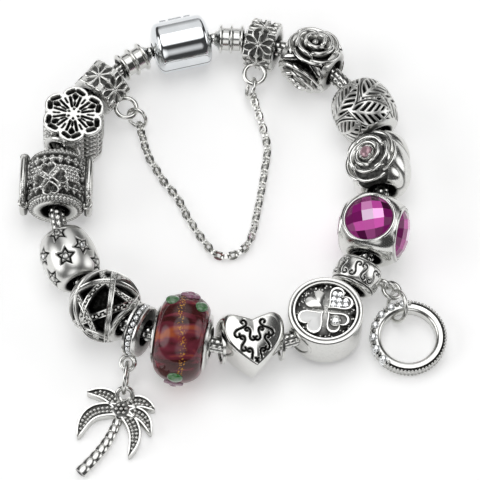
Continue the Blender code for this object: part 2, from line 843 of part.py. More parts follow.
def glass_core():
    """The silver tube through the glass, with a domed flange at each end."""
    half = ROWS["glass_bead"].length / 2
    face = GLASS_LENGTH / 2 + CLEAR
    profile = [
        (-half, BORE),
        (-half, BORE + 0.6 * MM),
        (-face - 0.3 * MM, CORE_RADIUS),
        (-face, CORE_RADIUS),
        (-face, BORE + 0.5 * MM),
        (face, BORE + 0.5 * MM),
        (face, CORE_RADIUS),
        (face + 0.3 * MM, CORE_RADIUS),
        (half, BORE + 0.6 * MM),
        (half, BORE),
    ]
    return turned(profile, 14)


def glass_bead():
    """Lampwork glass with raised blossoms."""
    bore = BORE + 0.5 * MM + CLEAR
    body = bead(GLASS_LENGTH, GLASS_RADIUS, CORE_RADIUS, bore, 2.4, 6, 18)
    dots = []
    for around, along, size in GLASS_DOTS:
        dot = ball((size * MM, size * MM, 0.45 * MM), 7, 4)
        dots.append(outwards(dot, GLASS_RADIUS - 0.12 * MM - 0.02 * abs(along) * MM, around, along))
    return joined(body, together(dots))


def heart_bead():
    """A puffed heart with full sides, bored across, with a small raised heart on its face."""
    half = HEART_DEPTH / 2
    rows = [(-1.0, 0.74), (-0.72, 0.92), (-0.3, 1.0), (0.3, 1.0), (0.72, 0.92), (1.0, 0.74)]
    wide = HEART_WIDTH / 2
    outline = [(math.copysign(wide * abs(x / wide) ** HEART_FULLNESS, x), y) for x, y in heart(HEART_WIDTH, 22)]
    body = lofted(outline, [(half * height, scale) for height, scale in rows])
    end = ROWS["heart_bead"].length / 2
    reach = HEART_WIDTH
    ends = [block((low, high), (-reach, reach), (-reach, reach)) for low, high in ((-reach, -end), (end, reach))]
    body = cut(body, *ends, bore_cutter())
    mark = moved(plate(heart(2.6 * MM, 10), 0, 0.7 * MM), shift(y=0.2 * MM, z=half - 0.4 * MM))
    return joined(body, mark)


def clover_drum():
    """A drum with a raised rim and sunk floor on both faces, with three hearts and a stone."""
    half = DRUM_DEPTH / 2
    floor = half - DRUM_FLOOR
    profile = [
        (-floor, DRUM_RADIUS - 2 * DRUM_RIM),
        (-half, DRUM_RADIUS - 2 * DRUM_RIM + 0.1 * MM),
        (-half, DRUM_RADIUS - 0.3 * MM),
        (-half + 0.5 * MM, DRUM_RADIUS),
        (half - 0.5 * MM, DRUM_RADIUS),
        (half, DRUM_RADIUS - 0.3 * MM),
        (half, DRUM_RADIUS - 2 * DRUM_RIM + 0.1 * MM),
        (floor, DRUM_RADIUS - 2 * DRUM_RIM),
    ]
    body = turned(profile, 24, "Z", ring=False)
    body = cut(body, bore_cutter())
    leaf = heart(LEAF_HEART, 12)
    inner = [(x * 0.62, y * 0.62) for x, y in leaf]
    hearts = []
    for name, holes in (("polished", []), ("pave", []), ("open", [inner])):
        shape = plate(leaf, -0.2 * MM, 0.6 * MM, holes)
        hearts.append(moved(shape, turn(HEART_TURNS[name], "Z") @ shift(y=LEAF_REACH, z=floor)))
    stone = moved(gem(0.8 * MM, MM), turn(HEART_TURNS["open"], "Z") @ shift(y=LEAF_REACH, z=floor + 0.3 * MM))
    return joined(body, together(hearts), stone)


def enamel_heart():
    """The white heart, which lies on the drum's floor."""
    floor = DRUM_DEPTH / 2 - DRUM_FLOOR
    shape = plate(heart(LEAF_HEART, 14), floor + CLEAR, floor + CLEAR + 0.7 * MM)
    return moved(shape, turn(HEART_TURNS["enamel"], "Z") @ shift(y=LEAF_REACH))


def scroll_bead():
    """An oval bead with a loop for the rings, standing across the chain."""
    body = bead(ROWS["scroll_bead"].length, SCROLL_BEAD_RADIUS, SLEEVE, rings=4, sides=14)
    loop = moved(ring(RING_LOOP_MAJOR, RING_WIRE, 10), turn(90, "Y"))
    return joined(body, moved(loop, turn(RING_LOOP_ANGLE, "X") @ shift(x=RING_LOOP_ALONG, z=RING_LOOP_REACH)))


def crystal_bead():
    """A smooth bead with three bezels round its girth."""
    body = bead(ROWS["crystal_bead"].length, CRYSTAL_BEAD_RADIUS, SLEEVE, rings=6, sides=15)
    seat = CRYSTAL_RADIUS + CLEAR
    for angle in CRYSTAL_TURNS:
        rim = cone(seat + BEZEL_WALL, seat + BEZEL_WALL, BEZEL_TOP - 3 * MM, 14)
        body = joined(body, moved(rim, turn(angle, "X") @ shift(z=3 * MM)))
    pockets = []
    for angle in CRYSTAL_TURNS:
        pocket = cone(seat, seat, CRYSTAL_BEAD_RADIUS, 14)
        pockets.append(moved(pocket, turn(angle, "X") @ shift(z=CRYSTAL_SEAT - CLEAR)))
    return cut(body, *pockets, bore_cutter())


def crystal(angle):
    """A cut stone: girdle, a ring of crown facets and a table."""
    girdle = CRYSTAL_SEAT + 0.6 * MM
    rise = CRYSTAL_TOP - girdle
    profile = [
        (CRYSTAL_SEAT, CRYSTAL_RADIUS - 0.5 * MM),
        (girdle, CRYSTAL_RADIUS),
        (girdle + 0.65 * rise, CRYSTAL_RADIUS * 0.74),
        (CRYSTAL_TOP, CRYSTAL_RADIUS * 0.4),
    ]
    return moved(turned(profile, 10, "Z", ring=False), turn(angle, "X"))


def rose_plates(radius, layers, height, lobes=5):
    """Petals as lobed plates, each smaller, higher and turned from the one below."""
    made = []
    for layer in range(layers):
        share = 1 - layer / (layers + 0.4)
        outline = []
        for i in range(lobes * 2):
            a = 2 * math.pi * i / (lobes * 2) + 0.7 * layer
            reach = radius * share * (0.9 + 0.1 * math.cos(lobes * (a - 0.7 * layer)))
            outline.append((reach * math.cos(a), reach * math.sin(a)))
        low = height * (layer - 1) / layers
        made.append(plate(outline, low - 0.2 * MM * layer, height * (layer + 1) / layers))
    return made


def rose_bead():
    """A ball of back petals with an open rose on its face and a pocket for the stone."""
    body = bead(ROWS["rose_bead"].length, ROSE_RADIUS, SLEEVE, rings=4, sides=12)
    base = ROSE_RADIUS - 1.9 * MM
    petals = [moved(p, shift(z=base)) for p in rose_plates(4.6 * MM, 3, 2.1 * MM)]
    body = joined(body, *petals)
    pocket = moved(cone(ROSE_STONE_RADIUS + CLEAR, ROSE_STONE_RADIUS + CLEAR, 3 * MM, 12), shift(z=base + 1.2 * MM))
    return cut(body, pocket, bore_cutter())


def rose_stone():
    base = ROSE_RADIUS - 1.9 * MM + 1.2 * MM
    return moved(gem(ROSE_STONE_RADIUS, 1.2 * MM, 10), shift(z=base + 0.72 * MM + CLEAR))


def leaf_ball():
    """A ball with leaves: slanting side veins sunk as narrow slits beside each long vein."""
    body = bead(ROWS["leaf_ball"].length, LEAF_RADIUS, SLEEVE, rings=6, sides=14)
    slits = []
    for i in range(5):
        for along in (-30, 8):
            for side in (-1, 1):
                slit = block((-0.22 * MM, 0.22 * MM), (-0.85 * MM, 0.85 * MM), (-0.6 * MM, MM))
                slit = moved(slit, turn(side * 38, "Z"))
                slits.append(outwards(slit, LEAF_RADIUS - 0.1 * MM, 72 * i + side * 14, along))
    return cut(body, together(slits))


def triple_rose_bead():
    """Three roses round a sleeve."""
    body = bead(ROWS["triple_rose_bead"].length, 4.0 * MM, SLEEVE, rings=4, sides=12)
    parts = []
    for i in range(3):
        out = turn(TRIPLE_ROSE_TURN + 120 * i, "X") @ shift(z=TRIPLE_ROSE_RADIUS - 2.5 * MM)
        for petal in rose_plates(3.9 * MM, 3, 2.2 * MM, 4):
            parts.append(moved(petal, out))
    body = joined(body, *parts)
    return cut(body, bore_cutter())


def ring_charm():
    """A finger ring lying flat: a plain band, milgrain on its rim, a gallery and set stones."""
    half = BAND_HEIGHT / 2
    bevel = 0.35 * MM
    profile = [
        (-half + bevel, BAND_INNER),
        (-half, BAND_INNER + bevel),
        (-half, BAND_OUTER - bevel),
        (-half + bevel, BAND_OUTER),
        (half - bevel, BAND_OUTER),
        (half, BAND_OUTER - bevel),
        (half, BAND_INNER + bevel),
        (half - bevel, BAND_INNER),
    ]
    body = turned(profile, 22, "Z")
    gaps = []
    stones = []
    for i in range(7):
        around = turn(105 + 19 * i, "Z")
        opening = cone(0.6 * MM, 0.6 * MM, 4 * MM, 5)
        gaps.append(moved(opening, around @ shift(x=BAND_INNER - MM) @ turn(90, "Y")))
        stone = gem(0.65 * MM, 0.8 * MM, 6)
        across = turn(9.5, "Z") @ around @ shift(x=BAND_OUTER - 0.1 * MM) @ turn(90, "Y")
        stones.append(moved(stone, across))
    body = cut(body, together(gaps))
    return joined(body, together(stones))


def palm_charm():
    """The palm lying flat: five leaves, a trunk of seven rings and a bail, in the crown's frame."""
    half = PALM_THICKNESS / 2
    parts = []
    for leaf in LEAVES:
        tip = Vector((leaf.x, leaf.y)) * MM
        side = Vector((-tip.y, tip.x)).normalized()
        upper = []
        lower = []
        for i in range(5):
            t = i / 4
            middle = tip * t + side * leaf.bow * MM * math.sin(math.pi * t)
            broad = leaf.width * MM / 2 * max(0.2, math.sin(math.pi * (0.15 + 0.8 * t)))
            upper.append(middle + side * broad)
            lower.append(middle - side * broad)
        outline = [tuple(p) for p in [*upper, *reversed(lower)]]
        parts.append(plate(outline, -half, half))
    start = Vector((*TRUNK_START, 0)) * MM
    end = Vector((*TRUNK_END, 0)) * MM
    for i in range(TRUNK_RINGS):
        t = i / (TRUNK_RINGS - 1)
        centre = start.lerp(end, t) + Vector((1.0 * MM * math.sin(math.pi * t), 0, 0))
        size = (0.85 + 0.35 * t) * MM
        lump = ball((1.3 * MM, size, min(size, half)), 6, 4)
        lean = math.atan2(end.y - start.y, end.x - start.x)
        parts.append(moved(lump, Matrix.Translation(centre) @ Matrix.Rotation(lean, 4, "Z")))
    hub = cone(1.6 * MM, 1.6 * MM, PALM_THICKNESS, 10)
    stem = tube([(start.x, start.y, 0), (0, 0, 0)], 0.7 * MM)
    neck = tube([(0, 0, 0), (BAIL_X, BAIL_FOOT + 0.2 * MM, 0)], 0.6 * MM)
    bail = moved(ring(BAIL_MAJOR, LOOP_WIRE, 10), bail_frame())
    return joined(moved(hub, shift(z=-half)), *parts, stem, neck, bail)


def bail_frame():
    """The bail stands up from its foot at the palm's top, leaning back."""
    return shift(BAIL_X, BAIL_FOOT) @ turn(BAIL_LEAN, "X") @ shift(y=BAIL_MAJOR)


# The chains


def snake_chain():
    """The chain from the right cap's socket, round the loop, to the left cap's."""
    cap_left, cap_right = ROWS["cap_left"], ROWS["cap_right"]
    start = STARTS["cap_left"] + cap_left.length - CAP_DEPTH
    end = STARTS["cap_right"] + CAP_DEPTH
    points = []
    for i in range(CHAIN_POINTS):
        distance = start + (end - start) * i / (CHAIN_POINTS - 1)
        points.append(route_point(distance))
    return tube(points, CHAIN_RADIUS, resolution=2)


def safety_chain(first, last):
    """The fine safety chain's outer form: a tube from ring to ring, down to the surface and back."""
    points = [first.to_2d(), *[Vector(row) * MM for row in CHAIN_ROUTE], last.to_2d()]
    spans = len(points) - 1
    count = spans * 2
    route = []
    for i in range(count + 1):
        place = min(i / 2, spans - 1e-6)
        k = math.floor(place)
        a, d = points[max(k - 1, 0)], points[min(k + 2, spans)]
        flat = eased(a, points[k], points[k + 1], d, place - k)
        near = min((flat - points[0]).length, (flat - points[-1]).length)
        lift = (first.z - CHAIN_HEIGHT) * max(0, 1 - near / CHAIN_DROP) ** 2
        route.append((flat.x, flat.y, CHAIN_HEIGHT + lift))
    return tube(route, SAFETY_RADIUS, resolution=2)


# Putting it together


def aimed(centre, ahead, spin):
    """A frame at centre with X towards ahead, turned about it by spin degrees."""
    return upright(centre, ahead) @ turn(spin, "X")


def place_clasp():
    frame = station_frame("clasp")
    placed(clasp_half(False), "clasp_base", "polished_steel", frame)
    lid = clasp_half(True)
    hinge = shift(y=-CLASP_RADIUS)
    placed(moved(lid, hinge.inverted()), "clasp_lid", "polished_steel", frame @ hinge)
    placed(cap("cap_left", -1), "cap_left", "antiqued_silver", station_frame("cap_left"))
    placed(cap("cap_right", 1), "cap_right", "antiqued_silver", station_frame("cap_right"))


def place_stopper(name, ring_name):
    """The stopper and the jump ring in its loop. It returns the jump ring's centre."""
    frame = station_frame(name)
    placed(stopper(name), name, "antiqued_silver", frame)
    inward = (frame @ turn(-loop_fall(name), "X")).to_3x3() @ Vector((0, 1, 0))
    reach = STOPPER_RADIUS + LOOP_MAJOR - 0.25 * MM
    ahead = Vector((inward.x, inward.y, -0.35)).normalized()
    hang = LOOP_MAJOR + JUMP_MAJOR - LOOP_WIRE - JUMP_WIRE - RING_SLACK
    centre = frame.translation + inward * reach + ahead * hang
    placed(ring(JUMP_MAJOR, JUMP_WIRE), ring_name, "antiqued_silver", aimed(centre, ahead, 65))
    return centre


def chain_end(centre, towards):
    """Where the safety chain ends, outside a jump ring."""
    flat = Vector((towards.x - centre.x, towards.y - centre.y, 0)).normalized()
    return centre + flat * (JUMP_MAJOR + JUMP_WIRE + CLEAR)


def place_safety_chain():
    left = place_stopper("stopper_left", "ring_left")
    right = place_stopper("stopper_right", "ring_right")
    first = chain_end(left, Vector((*CHAIN_ROUTE[0], 0)) * MM)
    last = chain_end(right, Vector((*CHAIN_ROUTE[-1], 0)) * MM)
    placed(safety_chain(first, last), "safety_chain", "antiqued_silver", Matrix())


def place_palm():
    """The ring hangs in the spacer's loop, and the palm's bail lies at the ring's far end."""
    frame = station_frame("pave_spacer") @ turn(SPACER_LOOP_ANGLE, "X")
    loop = frame @ Vector((0, 0, HANG_REACH))
    ahead = Vector((-0.12, -0.93, -0.35)).normalized()
    centre = loop + ahead * (PALM_RING_MAJOR - 0.1 * MM)
    upended = moved(ring(PALM_RING_MAJOR, JUMP_WIRE), turn(90, "X"))
    placed(upended, "palm_ring", "antiqued_silver", aimed(centre, ahead, 0))
    held = centre + ahead * (PALM_RING_MAJOR - JUMP_WIRE - LOOP_WIRE - RING_SLACK)
    top = bail_frame() @ Vector((0, BAIL_MAJOR, 0))
    crown = Vector((held.x - top.x, held.y - top.y, PALM_THICKNESS / 2 + LIFT))
    placed(palm_charm(), "palm_charm", "antiqued_silver", Matrix.Translation(crown))


def place_ring_charm():
    """Two rings link the scroll bead's loop to the finger ring, which lies with its near side on one."""
    frame = station_frame("scroll_bead") @ turn(RING_LOOP_ANGLE, "X")
    loop = frame @ Vector((RING_LOOP_ALONG, 0, RING_LOOP_REACH))
    ahead = Vector((0.75, -0.62, -0.22)).normalized()
    small = loop + ahead * SMALL_RING_MAJOR
    placed(ring(SMALL_RING_MAJOR, RING_WIRE), "small_ring", "antiqued_silver", aimed(small, ahead, -15))
    flat = Vector((0.3, -0.95, 0)).normalized()
    large = small + flat * (LARGE_RING_MAJOR + 0.45 * MM)
    lean = math.radians(LARGE_RING_LEAN)
    large.z = (LARGE_RING_MAJOR + RING_WIRE) * math.sin(lean) + LIFT
    matrix = aimed(large, flat, LARGE_RING_LEAN)
    placed(ring(LARGE_RING_MAJOR, RING_WIRE), "large_ring", "antiqued_silver", matrix)
    middle = (BAND_INNER + BAND_OUTER) / 2
    centre = large + flat * (middle + 0.3 * MM)
    tilt = math.radians(BAND_TILT)
    centre.z = BAND_HEIGHT / 2 * math.cos(tilt) + BAND_OUTER * math.sin(tilt)
    around = Vector((0, 0, 1)).cross(flat)
    matrix = Matrix.Translation(centre) @ Matrix.Rotation(tilt, 4, around)
    placed(ring_charm(), "ring_charm", "antiqued_silver", matrix)


def centre_all():
    """Sets the middle of the whole bracelet's box over the origin, and its lowest point on z = 0."""
    bpy.context.view_layer.update()
    points = [obj.matrix_world @ vertex.co for obj in BRACELET.objects for vertex in obj.data.vertices]
    low = [min(point[k] for point in points) for k in range(3)]
    high = [max(point[k] for point in points) for k in range(3)]
    offset = shift(-(low[0] + high[0]) / 2, -(low[1] + high[1]) / 2, -low[2])
    for obj in BRACELET.objects:
        obj.matrix_world = offset @ obj.matrix_world


def main():
    placed(snake_chain(), "snake_chain", "antiqued_silver", Matrix())
    place_clasp()
    place_safety_chain()
    silver = [
        (flower_bead, "flower_bead"),
        (globe_bead, "globe_bead"),
        (star_ball, "star_ball"),
        (strand_ball, "strand_ball"),
        (pave_spacer, "pave_spacer"),
        (heart_bead, "heart_bead"),
        (clover_drum, "clover_drum"),
        (scroll_bead, "scroll_bead"),
        (crystal_bead, "crystal_bead"),
        (rose_bead, "rose_bead"),
        (leaf_ball, "leaf_ball"),
        (triple_rose_bead, "triple_rose_bead"),
    ]
    for make, name in silver:
        placed(make(), name, "antiqued_silver", station_frame(name))
    placed(glass_core(), "glass_core", "antiqued_silver", station_frame("glass_bead"))
    placed(glass_bead(), "glass_bead", "purple_glass", station_frame("glass_bead"))
    placed(enamel_heart(), "enamel_heart", "white_enamel", station_frame("clover_drum"))
    placed(rose_stone(), "rose_stone", "pink_crystal", station_frame("rose_bead"))
    for number, angle in enumerate(CRYSTAL_TURNS, 1):
        placed(crystal(angle), f"crystal_{number}", "magenta_crystal", station_frame("crystal_bead"))
    place_palm()
    place_ring_charm()
    centre_all()
    bpy.data.collections.remove(BENCH)


main()
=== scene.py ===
"""Charm bracelet: the looks of every piece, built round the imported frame.

Each charm is worked out in its own frame, with the chain along X and its face along Z, and then
carried to its place on the loop. Lengths in the tables are millimetres.
"""

import json
import math
from collections import namedtuple

import bpy
import numpy as np
from bpy.props import FloatProperty, FloatVectorProperty, IntProperty, PointerProperty
from mathutils import Matrix, Vector


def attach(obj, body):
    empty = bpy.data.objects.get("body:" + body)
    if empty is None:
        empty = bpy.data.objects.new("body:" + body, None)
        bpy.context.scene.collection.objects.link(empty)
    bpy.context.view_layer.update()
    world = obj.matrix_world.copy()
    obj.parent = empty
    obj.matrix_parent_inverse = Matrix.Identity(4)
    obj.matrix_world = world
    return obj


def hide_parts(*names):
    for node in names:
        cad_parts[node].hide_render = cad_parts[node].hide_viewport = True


bl_info = {
    "name": "Charm bracelet",
    "version": (1, 0, 0),
    "blender": (4, 5, 0),
    "location": "3D View > Sidebar > Bracelet",
    "description": "Builds a silver charm bracelet with its beads, stones, chains and clasp",
    "category": "Add Mesh",
}

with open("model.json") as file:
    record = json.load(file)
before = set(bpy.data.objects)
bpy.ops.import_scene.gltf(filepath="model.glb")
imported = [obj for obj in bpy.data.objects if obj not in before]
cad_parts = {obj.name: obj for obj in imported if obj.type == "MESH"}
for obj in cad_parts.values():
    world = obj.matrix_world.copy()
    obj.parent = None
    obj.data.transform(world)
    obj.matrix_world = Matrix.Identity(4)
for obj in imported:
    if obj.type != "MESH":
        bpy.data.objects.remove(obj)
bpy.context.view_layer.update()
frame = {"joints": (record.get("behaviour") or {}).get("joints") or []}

MM = 0.001
PI = math.pi
TAU = 2 * math.pi

# The loop as the solids have it: each station's length, the bare chain after it and its face's roll
Station = namedtuple("Station", "name length gap roll")
STATIONS = [Station(*row) for row in [
    ("clasp", 10.6, 0.9, 0),
    ("cap_left", 6.0, 2.3, 0),
    ("stopper_left", 5.6, 1.6, -20),
    ("flower_bead", 10.8, 2.2, 0),
    ("globe_bead", 10.4, 4.6, 0),
    ("star_ball", 10.2, 1.3, 0),
    ("strand_ball", 11.0, 1.3, 15),
    ("pave_spacer", 2.6, 1.3, 0),
    ("glass_bead", 10.6, 1.6, 20),
    ("heart_bead", 11.2, 2.5, 10),
    ("clover_drum", 13.4, 1.2, 0),
    ("scroll_bead", 5.4, 1.0, 10),
    ("crystal_bead", 11.2, 2.6, -6),
    ("rose_bead", 10.4, 1.3, -28),
    ("leaf_ball", 10.4, 4.5, 0),
    ("triple_rose_bead", 9.6, 2.2, -25),
    ("stopper_right", 5.4, 0.9, 0),
    ("cap_right", 5.4, 0.9, 0),
]]
ROWS = {row.name: row for row in STATIONS}
ROUTE = [
    (-10.8, 37.2, 4.95),
    (-19.3, 33.7, 4.95),
    (-25.2, 27.8, 5.0),
    (-30.2, 19.8, 5.3),
    (-33.1, 7.3, 6.0),
    (-30.3, -7.5, 5.7),
    (-23.7, -17.2, 6.6),
    (-17.5, -21.9, 7.2),
    (-9.8, -23.9, 8.35),
    (1.9, -24.6, 6.1),
    (15.4, -19.4, 5.1),
    (20.7, -10.0, 5.4),
    (24.0, -1.6, 7.15),
    (25.2, 11.9, 6.0),
    (22.4, 23.2, 5.8),
    (13.2, 33.2, 6.0),
    (3.4, 37.0, 5.0),
    (-2.1, 38.2, 4.95),
]
CHAIN_ROUTE = [
    (-16.7, 16.3),
    (-15.2, 13.6),
    (-13.9, 11.2),
    (-11.2, 7.5),
    (-9.3, 3.5),
    (-7.1, -0.2),
    (-4.4, -3.7),
    (-1.6, -4.0),
    (0.9, -2.3),
    (2.3, 0.9),
    (3.0, 4.6),
    (3.8, 8.9),
    (4.5, 14.0),
    (4.8, 19.0),
]
LOOP_STEPS = 24

# The solids' own measures in mm and degrees, which the pieces share
CHAIN_RADIUS = 1.5
BORE = 2.4
SLEEVE = 3.0
CLASP_RADIUS = 4.75
CLASP_WALL = 1.1
CLASP_END_WALL = 1.0
CLASP_MOUTH = 1.45
CLASP_BAND = 3.75
HINGE_RADIUS = 0.95
HINGE_LENGTH = 2.6
BALL_RADIUS = 2.0
CAP_RADIUS = 2.7
CAP_DEPTH = 4.0
STOPPER_RADIUS = 4.1
STOPPER_DROP = 12
LOOP_MAJOR = 1.9
LOOP_WIRE = 0.45
JUMP_MAJOR = 1.8
JUMP_WIRE = 0.4
RING_SLACK = 0.15
SPACER_RADIUS = 4.8
SPACER_LOOP_ANGLE = 117
HANG_REACH = SPACER_RADIUS + 1.35
SMALL_LOOP_MAJOR = 1.25
GLASS_RADIUS = 8.0
GLASS_LENGTH = 8.6
CORE_RADIUS = 5.2
DRUM_RADIUS = 6.7
DRUM_DEPTH = 7.4
SCROLL_BEAD_RADIUS = 4.3
RING_LOOP_MAJOR = 1.5
RING_LOOP_ALONG = 1.2
RING_LOOP_REACH = SCROLL_BEAD_RADIUS + 1.05
RING_LOOP_ANGLE = 105
SMALL_RING_MAJOR = 1.6
LARGE_RING_MAJOR = 2.75
LARGE_RING_LEAN = 62
RING_WIRE = 0.4
BAND_INNER = 4.85
BAND_OUTER = 6.9
BAND_HEIGHT = 2.5
BAND_TILT = 5.2
PALM_THICKNESS = 1.7
PALM_RING_MAJOR = 2.75
BAIL_MAJOR = 1.35
BAIL_X = 0.6
BAIL_FOOT = 1.9
BAIL_LEAN = 50
SAFETY_RADIUS = 0.95
LIFT = 0.02
CHAIN_DROP = 9
FLOWER_RADIUS = 5.8
FLOWER_DEPTH = 9.6
FLOWER_SPIN = -11
GLOBE_RADIUS = 5.4
SCROLL_REACH = 5.9
STAR_RADIUS = 5.0
HEART_WIDTH = 12.2
HEART_DEPTH = 8.4
HEART_FLAT = 5.6
RING_CROWN_START = 98
RING_CROWN_STEP = 21
CRYSTAL_RADIUS = 4.3
CRYSTAL_SEAT = 4.2
CRYSTAL_TOP = 6.4
CRYSTAL_TURNS = (-5, 88, 262)
TRIPLE_ROSE_TURN = 44
STRAND_RADIUS = 6.2
LEAF_BALL_RADIUS = 5.7

# The dressing's own: how square the glass's side is, counts, and degrees
GLASS_POWER = 1.9
STRAND_GRAINS = 62
STRAND_CLEAR = 36
GLOBE_SLOTS = 22
ALL_SMOOTH = 180

# A distance past every shape's edge, and the last points of a bead's profile, which run back in its bore
FAR = 9.0
IN_BORE = slice(-4, None)

# Sets of finishes and of node settings that several pieces share
OXIDISED = ["oxidised_cast_silver"]
RUBBED = ["rubbed_silver"]
SET_SILVER = ["oxidised_cast_silver", "clear_zirconia"]
COLOUR_MIX = {"data_type": "RGBA"}
CLAMPED_SUM = {"operation": "ADD", "use_clamp": True}
CLAMPED_PRODUCT = {"operation": "MULTIPLY", "use_clamp": True}
TARNISH = {"attribute_name": "tarnish"}

# The globe's side scrolls: (along, up) points in mm of each run, and its thickness
SCROLL_RUNS = [
    ([(-4.4, 2.4), (-3, 3.2), (0, 3.4), (3, 2.6), (4.6, 0.6), (4.9, -1.2), (3.8, -2.6), (2.4, -1.8)], 0.6),
    ([(-4.4, 2.4), (-5.2, 0.8), (-4.9, -1.2), (-3, -2.4), (0, -3.0), (2.4, -1.8)], 0.5),
    ([(3.8, -2.6), (3.2, -1.6), (3.9, -0.9), (4.5, -1.5)], 0.42),
    ([(2.6, 2.5), (1.8, 1.2), (2.6, 0.4), (3.5, 1.0), (3.1, 1.8)], 0.42),
]

# The star ball's stars: mm right and up of its middle as the camera sees them, and degrees round and along
STARS_IN_VIEW = [(-0.6, 0.5), (-1.9, 4.1), (2.4, 2.5), (-4.6, 0.4), (-2.6, -3.2), (4.4, -0.5)]
STARS_BEHIND = [(140, 20), (185, -25), (-120, -30), (-160, 25), (100, -25)]

# The strand ball's bands: the way that a band's circle faces, as (right, up, towards the camera), how far
# its plane lies from the middle in mm, its width in mm, and what it carries
STRANDS = [
    ((0.99, -0.11, 0.0), 0.95, 1.15, "plain"),
    ((0.05, -0.7, 0.71), 0.05, 1.15, "plain"),
    ((0.57, 0.05, 0.82), 0.0, 1.05, "plain"),
    ((0.63, -0.42, 0.65), 1.1, 1.15, "grains"),
    ((0.83, -0.56, 0.0), 4.1, 1.5, "plain"),
    ((-0.34, 0.94, 0.0), -1.1, 1.4, "grains"),
    ((0.9, 0.42, -0.1), -3.9, 1.1, "grains"),
    ((0.35, 0.93, 0.1), -4.6, 1.2, "plain"),
    ((0.25, 0.35, -0.9), 2.6, 1.3, "plain"),
    ((0.5, 0.62, 0.2), 4.6, 1.1, "grains"),
]

# The palm's leaves: tip (x, y), bow and width in mm
PALM_LEAVES = [
    (-6.1, 3.4, -1.3, 2.6),
    (5.9, 0, 1.6, 2.6),
    (5.2, -4.6, 1.5, 2.4),
    (-7.6, -5.2, -2.4, 2.8),
    (1.4, -9.0, 1.7, 2.4),
]

# Dabs on the glass: (degrees round it, mm along it, mm radius), and where the blossoms sit
GREEN_DABS = [(-54, -2.3, 1.35), (-50, 2.7, 1.35), (66, 0.2, 1.4), (122, -2.4, 1.2), (-132, 2.2, 1.1)]
BLOSSOMS = [(-72, 0.5), (93, -0.2), (-138, -1.6)]

# The heart's engraved scrolls: middle (x, y) and reach in mm, lean in radians, and the hand they turn by
HEART_SCROLLS = [
    (-2.4, 2.0, 1.55, 0.3, 1),
    (2.3, 2.0, 1.55, 2.8, -1),
    (-2.2, -0.7, 1.35, 0.9, 1),
    (2.1, -0.7, 1.35, 2.2, -1),
    (-0.8, -2.9, 1.2, 1.3, 1),
    (0.8, -2.9, 1.2, 1.8, -1),
    (-0.85, 0.9, 1.2, 1.3, 1),
    (0.85, 0.9, 1.2, 1.8, -1),
]

# The drum's hearts: degrees round its middle, width in mm, and (x, y) of the stones on the set one
HEART_TURNS = {"polished": -3, "pave": -93, "enamel": 87, "open": 177}
DRUM_HEARTS = {"polished": 4.0, "pave": 5.0, "enamel": 5.1, "open": 4.6}
PAVE_SPOTS = [(-1.2, 0.6), (0, 0.35), (1.2, 0.6), (-0.65, -0.2), (0.65, -0.2), (0, -0.85)]
PAVE_SPOTS += [(-0.65, 1.15), (0.65, 1.15)]

# The stage: mm, metres and degrees, the table's and the sky's own light, and the camera
TABLE_REACH = 1.5
TABLE_GLOW = 0.27
SKY_GLOW = 0.06
CAMERA_LENS = 376
CAMERA_DISTANCE = 0.9
CAMERA_TARGET = (1.4, 2.0, 0)
CAMERA_RISE = 63
TO_CAMERA = Vector((0, -math.cos(math.radians(CAMERA_RISE)), math.sin(math.radians(CAMERA_RISE))))
SCREEN_UP = Vector((0, TO_CAMERA.z, -TO_CAMERA.y))

# Soft boxes in the sky: direction, half width and half softness in degrees, and brightness
SOFTBOXES = [
    ((0.0, 0.12, 0.99), 26, 4, 1.7),
    ((0.0, -0.8, 0.58), 15, 10, 1.3),
    ((0.0, 0.75, 0.66), 22, 10, 0.9),
    ((0.0, 1.0, 0.1), 12, 6, 0.4),
    ((-0.95, -0.1, 0.5), 22, 5, 2.2),
    ((0.95, 0.1, 0.4), 18, 6, 1.7),
]


def linear(code):
    """The linear colour of an sRGB hex code: each channel's usual two-part power curve."""
    channels = np.array([int(code[i : i + 2], 16) for i in (0, 2, 4)]) / 255
    curve = np.where(channels <= 0.04045, channels / 12.92, ((channels + 0.055) / 1.055) ** 2.4)
    return tuple(float(value) for value in curve)


def size_property(label, words, default, low=0.0):
    return FloatProperty(name=label, description=words, default=default, min=low, unit="LENGTH", precision=5)


def colour_property(label, words, code):
    return FloatVectorProperty(
        name=label, description=words, default=linear(code), subtype="COLOR", min=0, max=1
    )


class BraceletSizes(bpy.types.PropertyGroup):
    """Sizes that a user would change."""

    petal_depth: size_property("Petal depth", "How deep the stoppers' daisy petals are sunk", 0.42 * MM)
    slot_depth: size_property("Slot depth", "How deep the flower bead's slots go", 0.9 * MM)
    star_depth: size_property("Star depth", "How deep the line round each star is cut", 0.3 * MM)
    vein_depth: size_property("Vein depth", "How deep the leaf ball's veins are cut", 0.45 * MM)
    scroll_depth: size_property("Scroll depth", "How deep the engraved scrolls are cut", 0.22 * MM)
    snake_pitch: size_property("Snake pitch", "Distance between the snake chain's scales", 1.15 * MM, MM / 2)
    snake_relief: size_property("Snake relief", "How far the snake chain's scales stand out", 0.22 * MM)
    link_length: size_property("Link length", "Length of a safety-chain link", 2.2 * MM, MM)
    link_wire: size_property("Link wire", "Radius of a safety-chain link's wire", 0.31 * MM, MM / 20)
    spacer_stones: IntProperty(name="Spacer stones", description="Stones round the spacer", default=22, min=6)


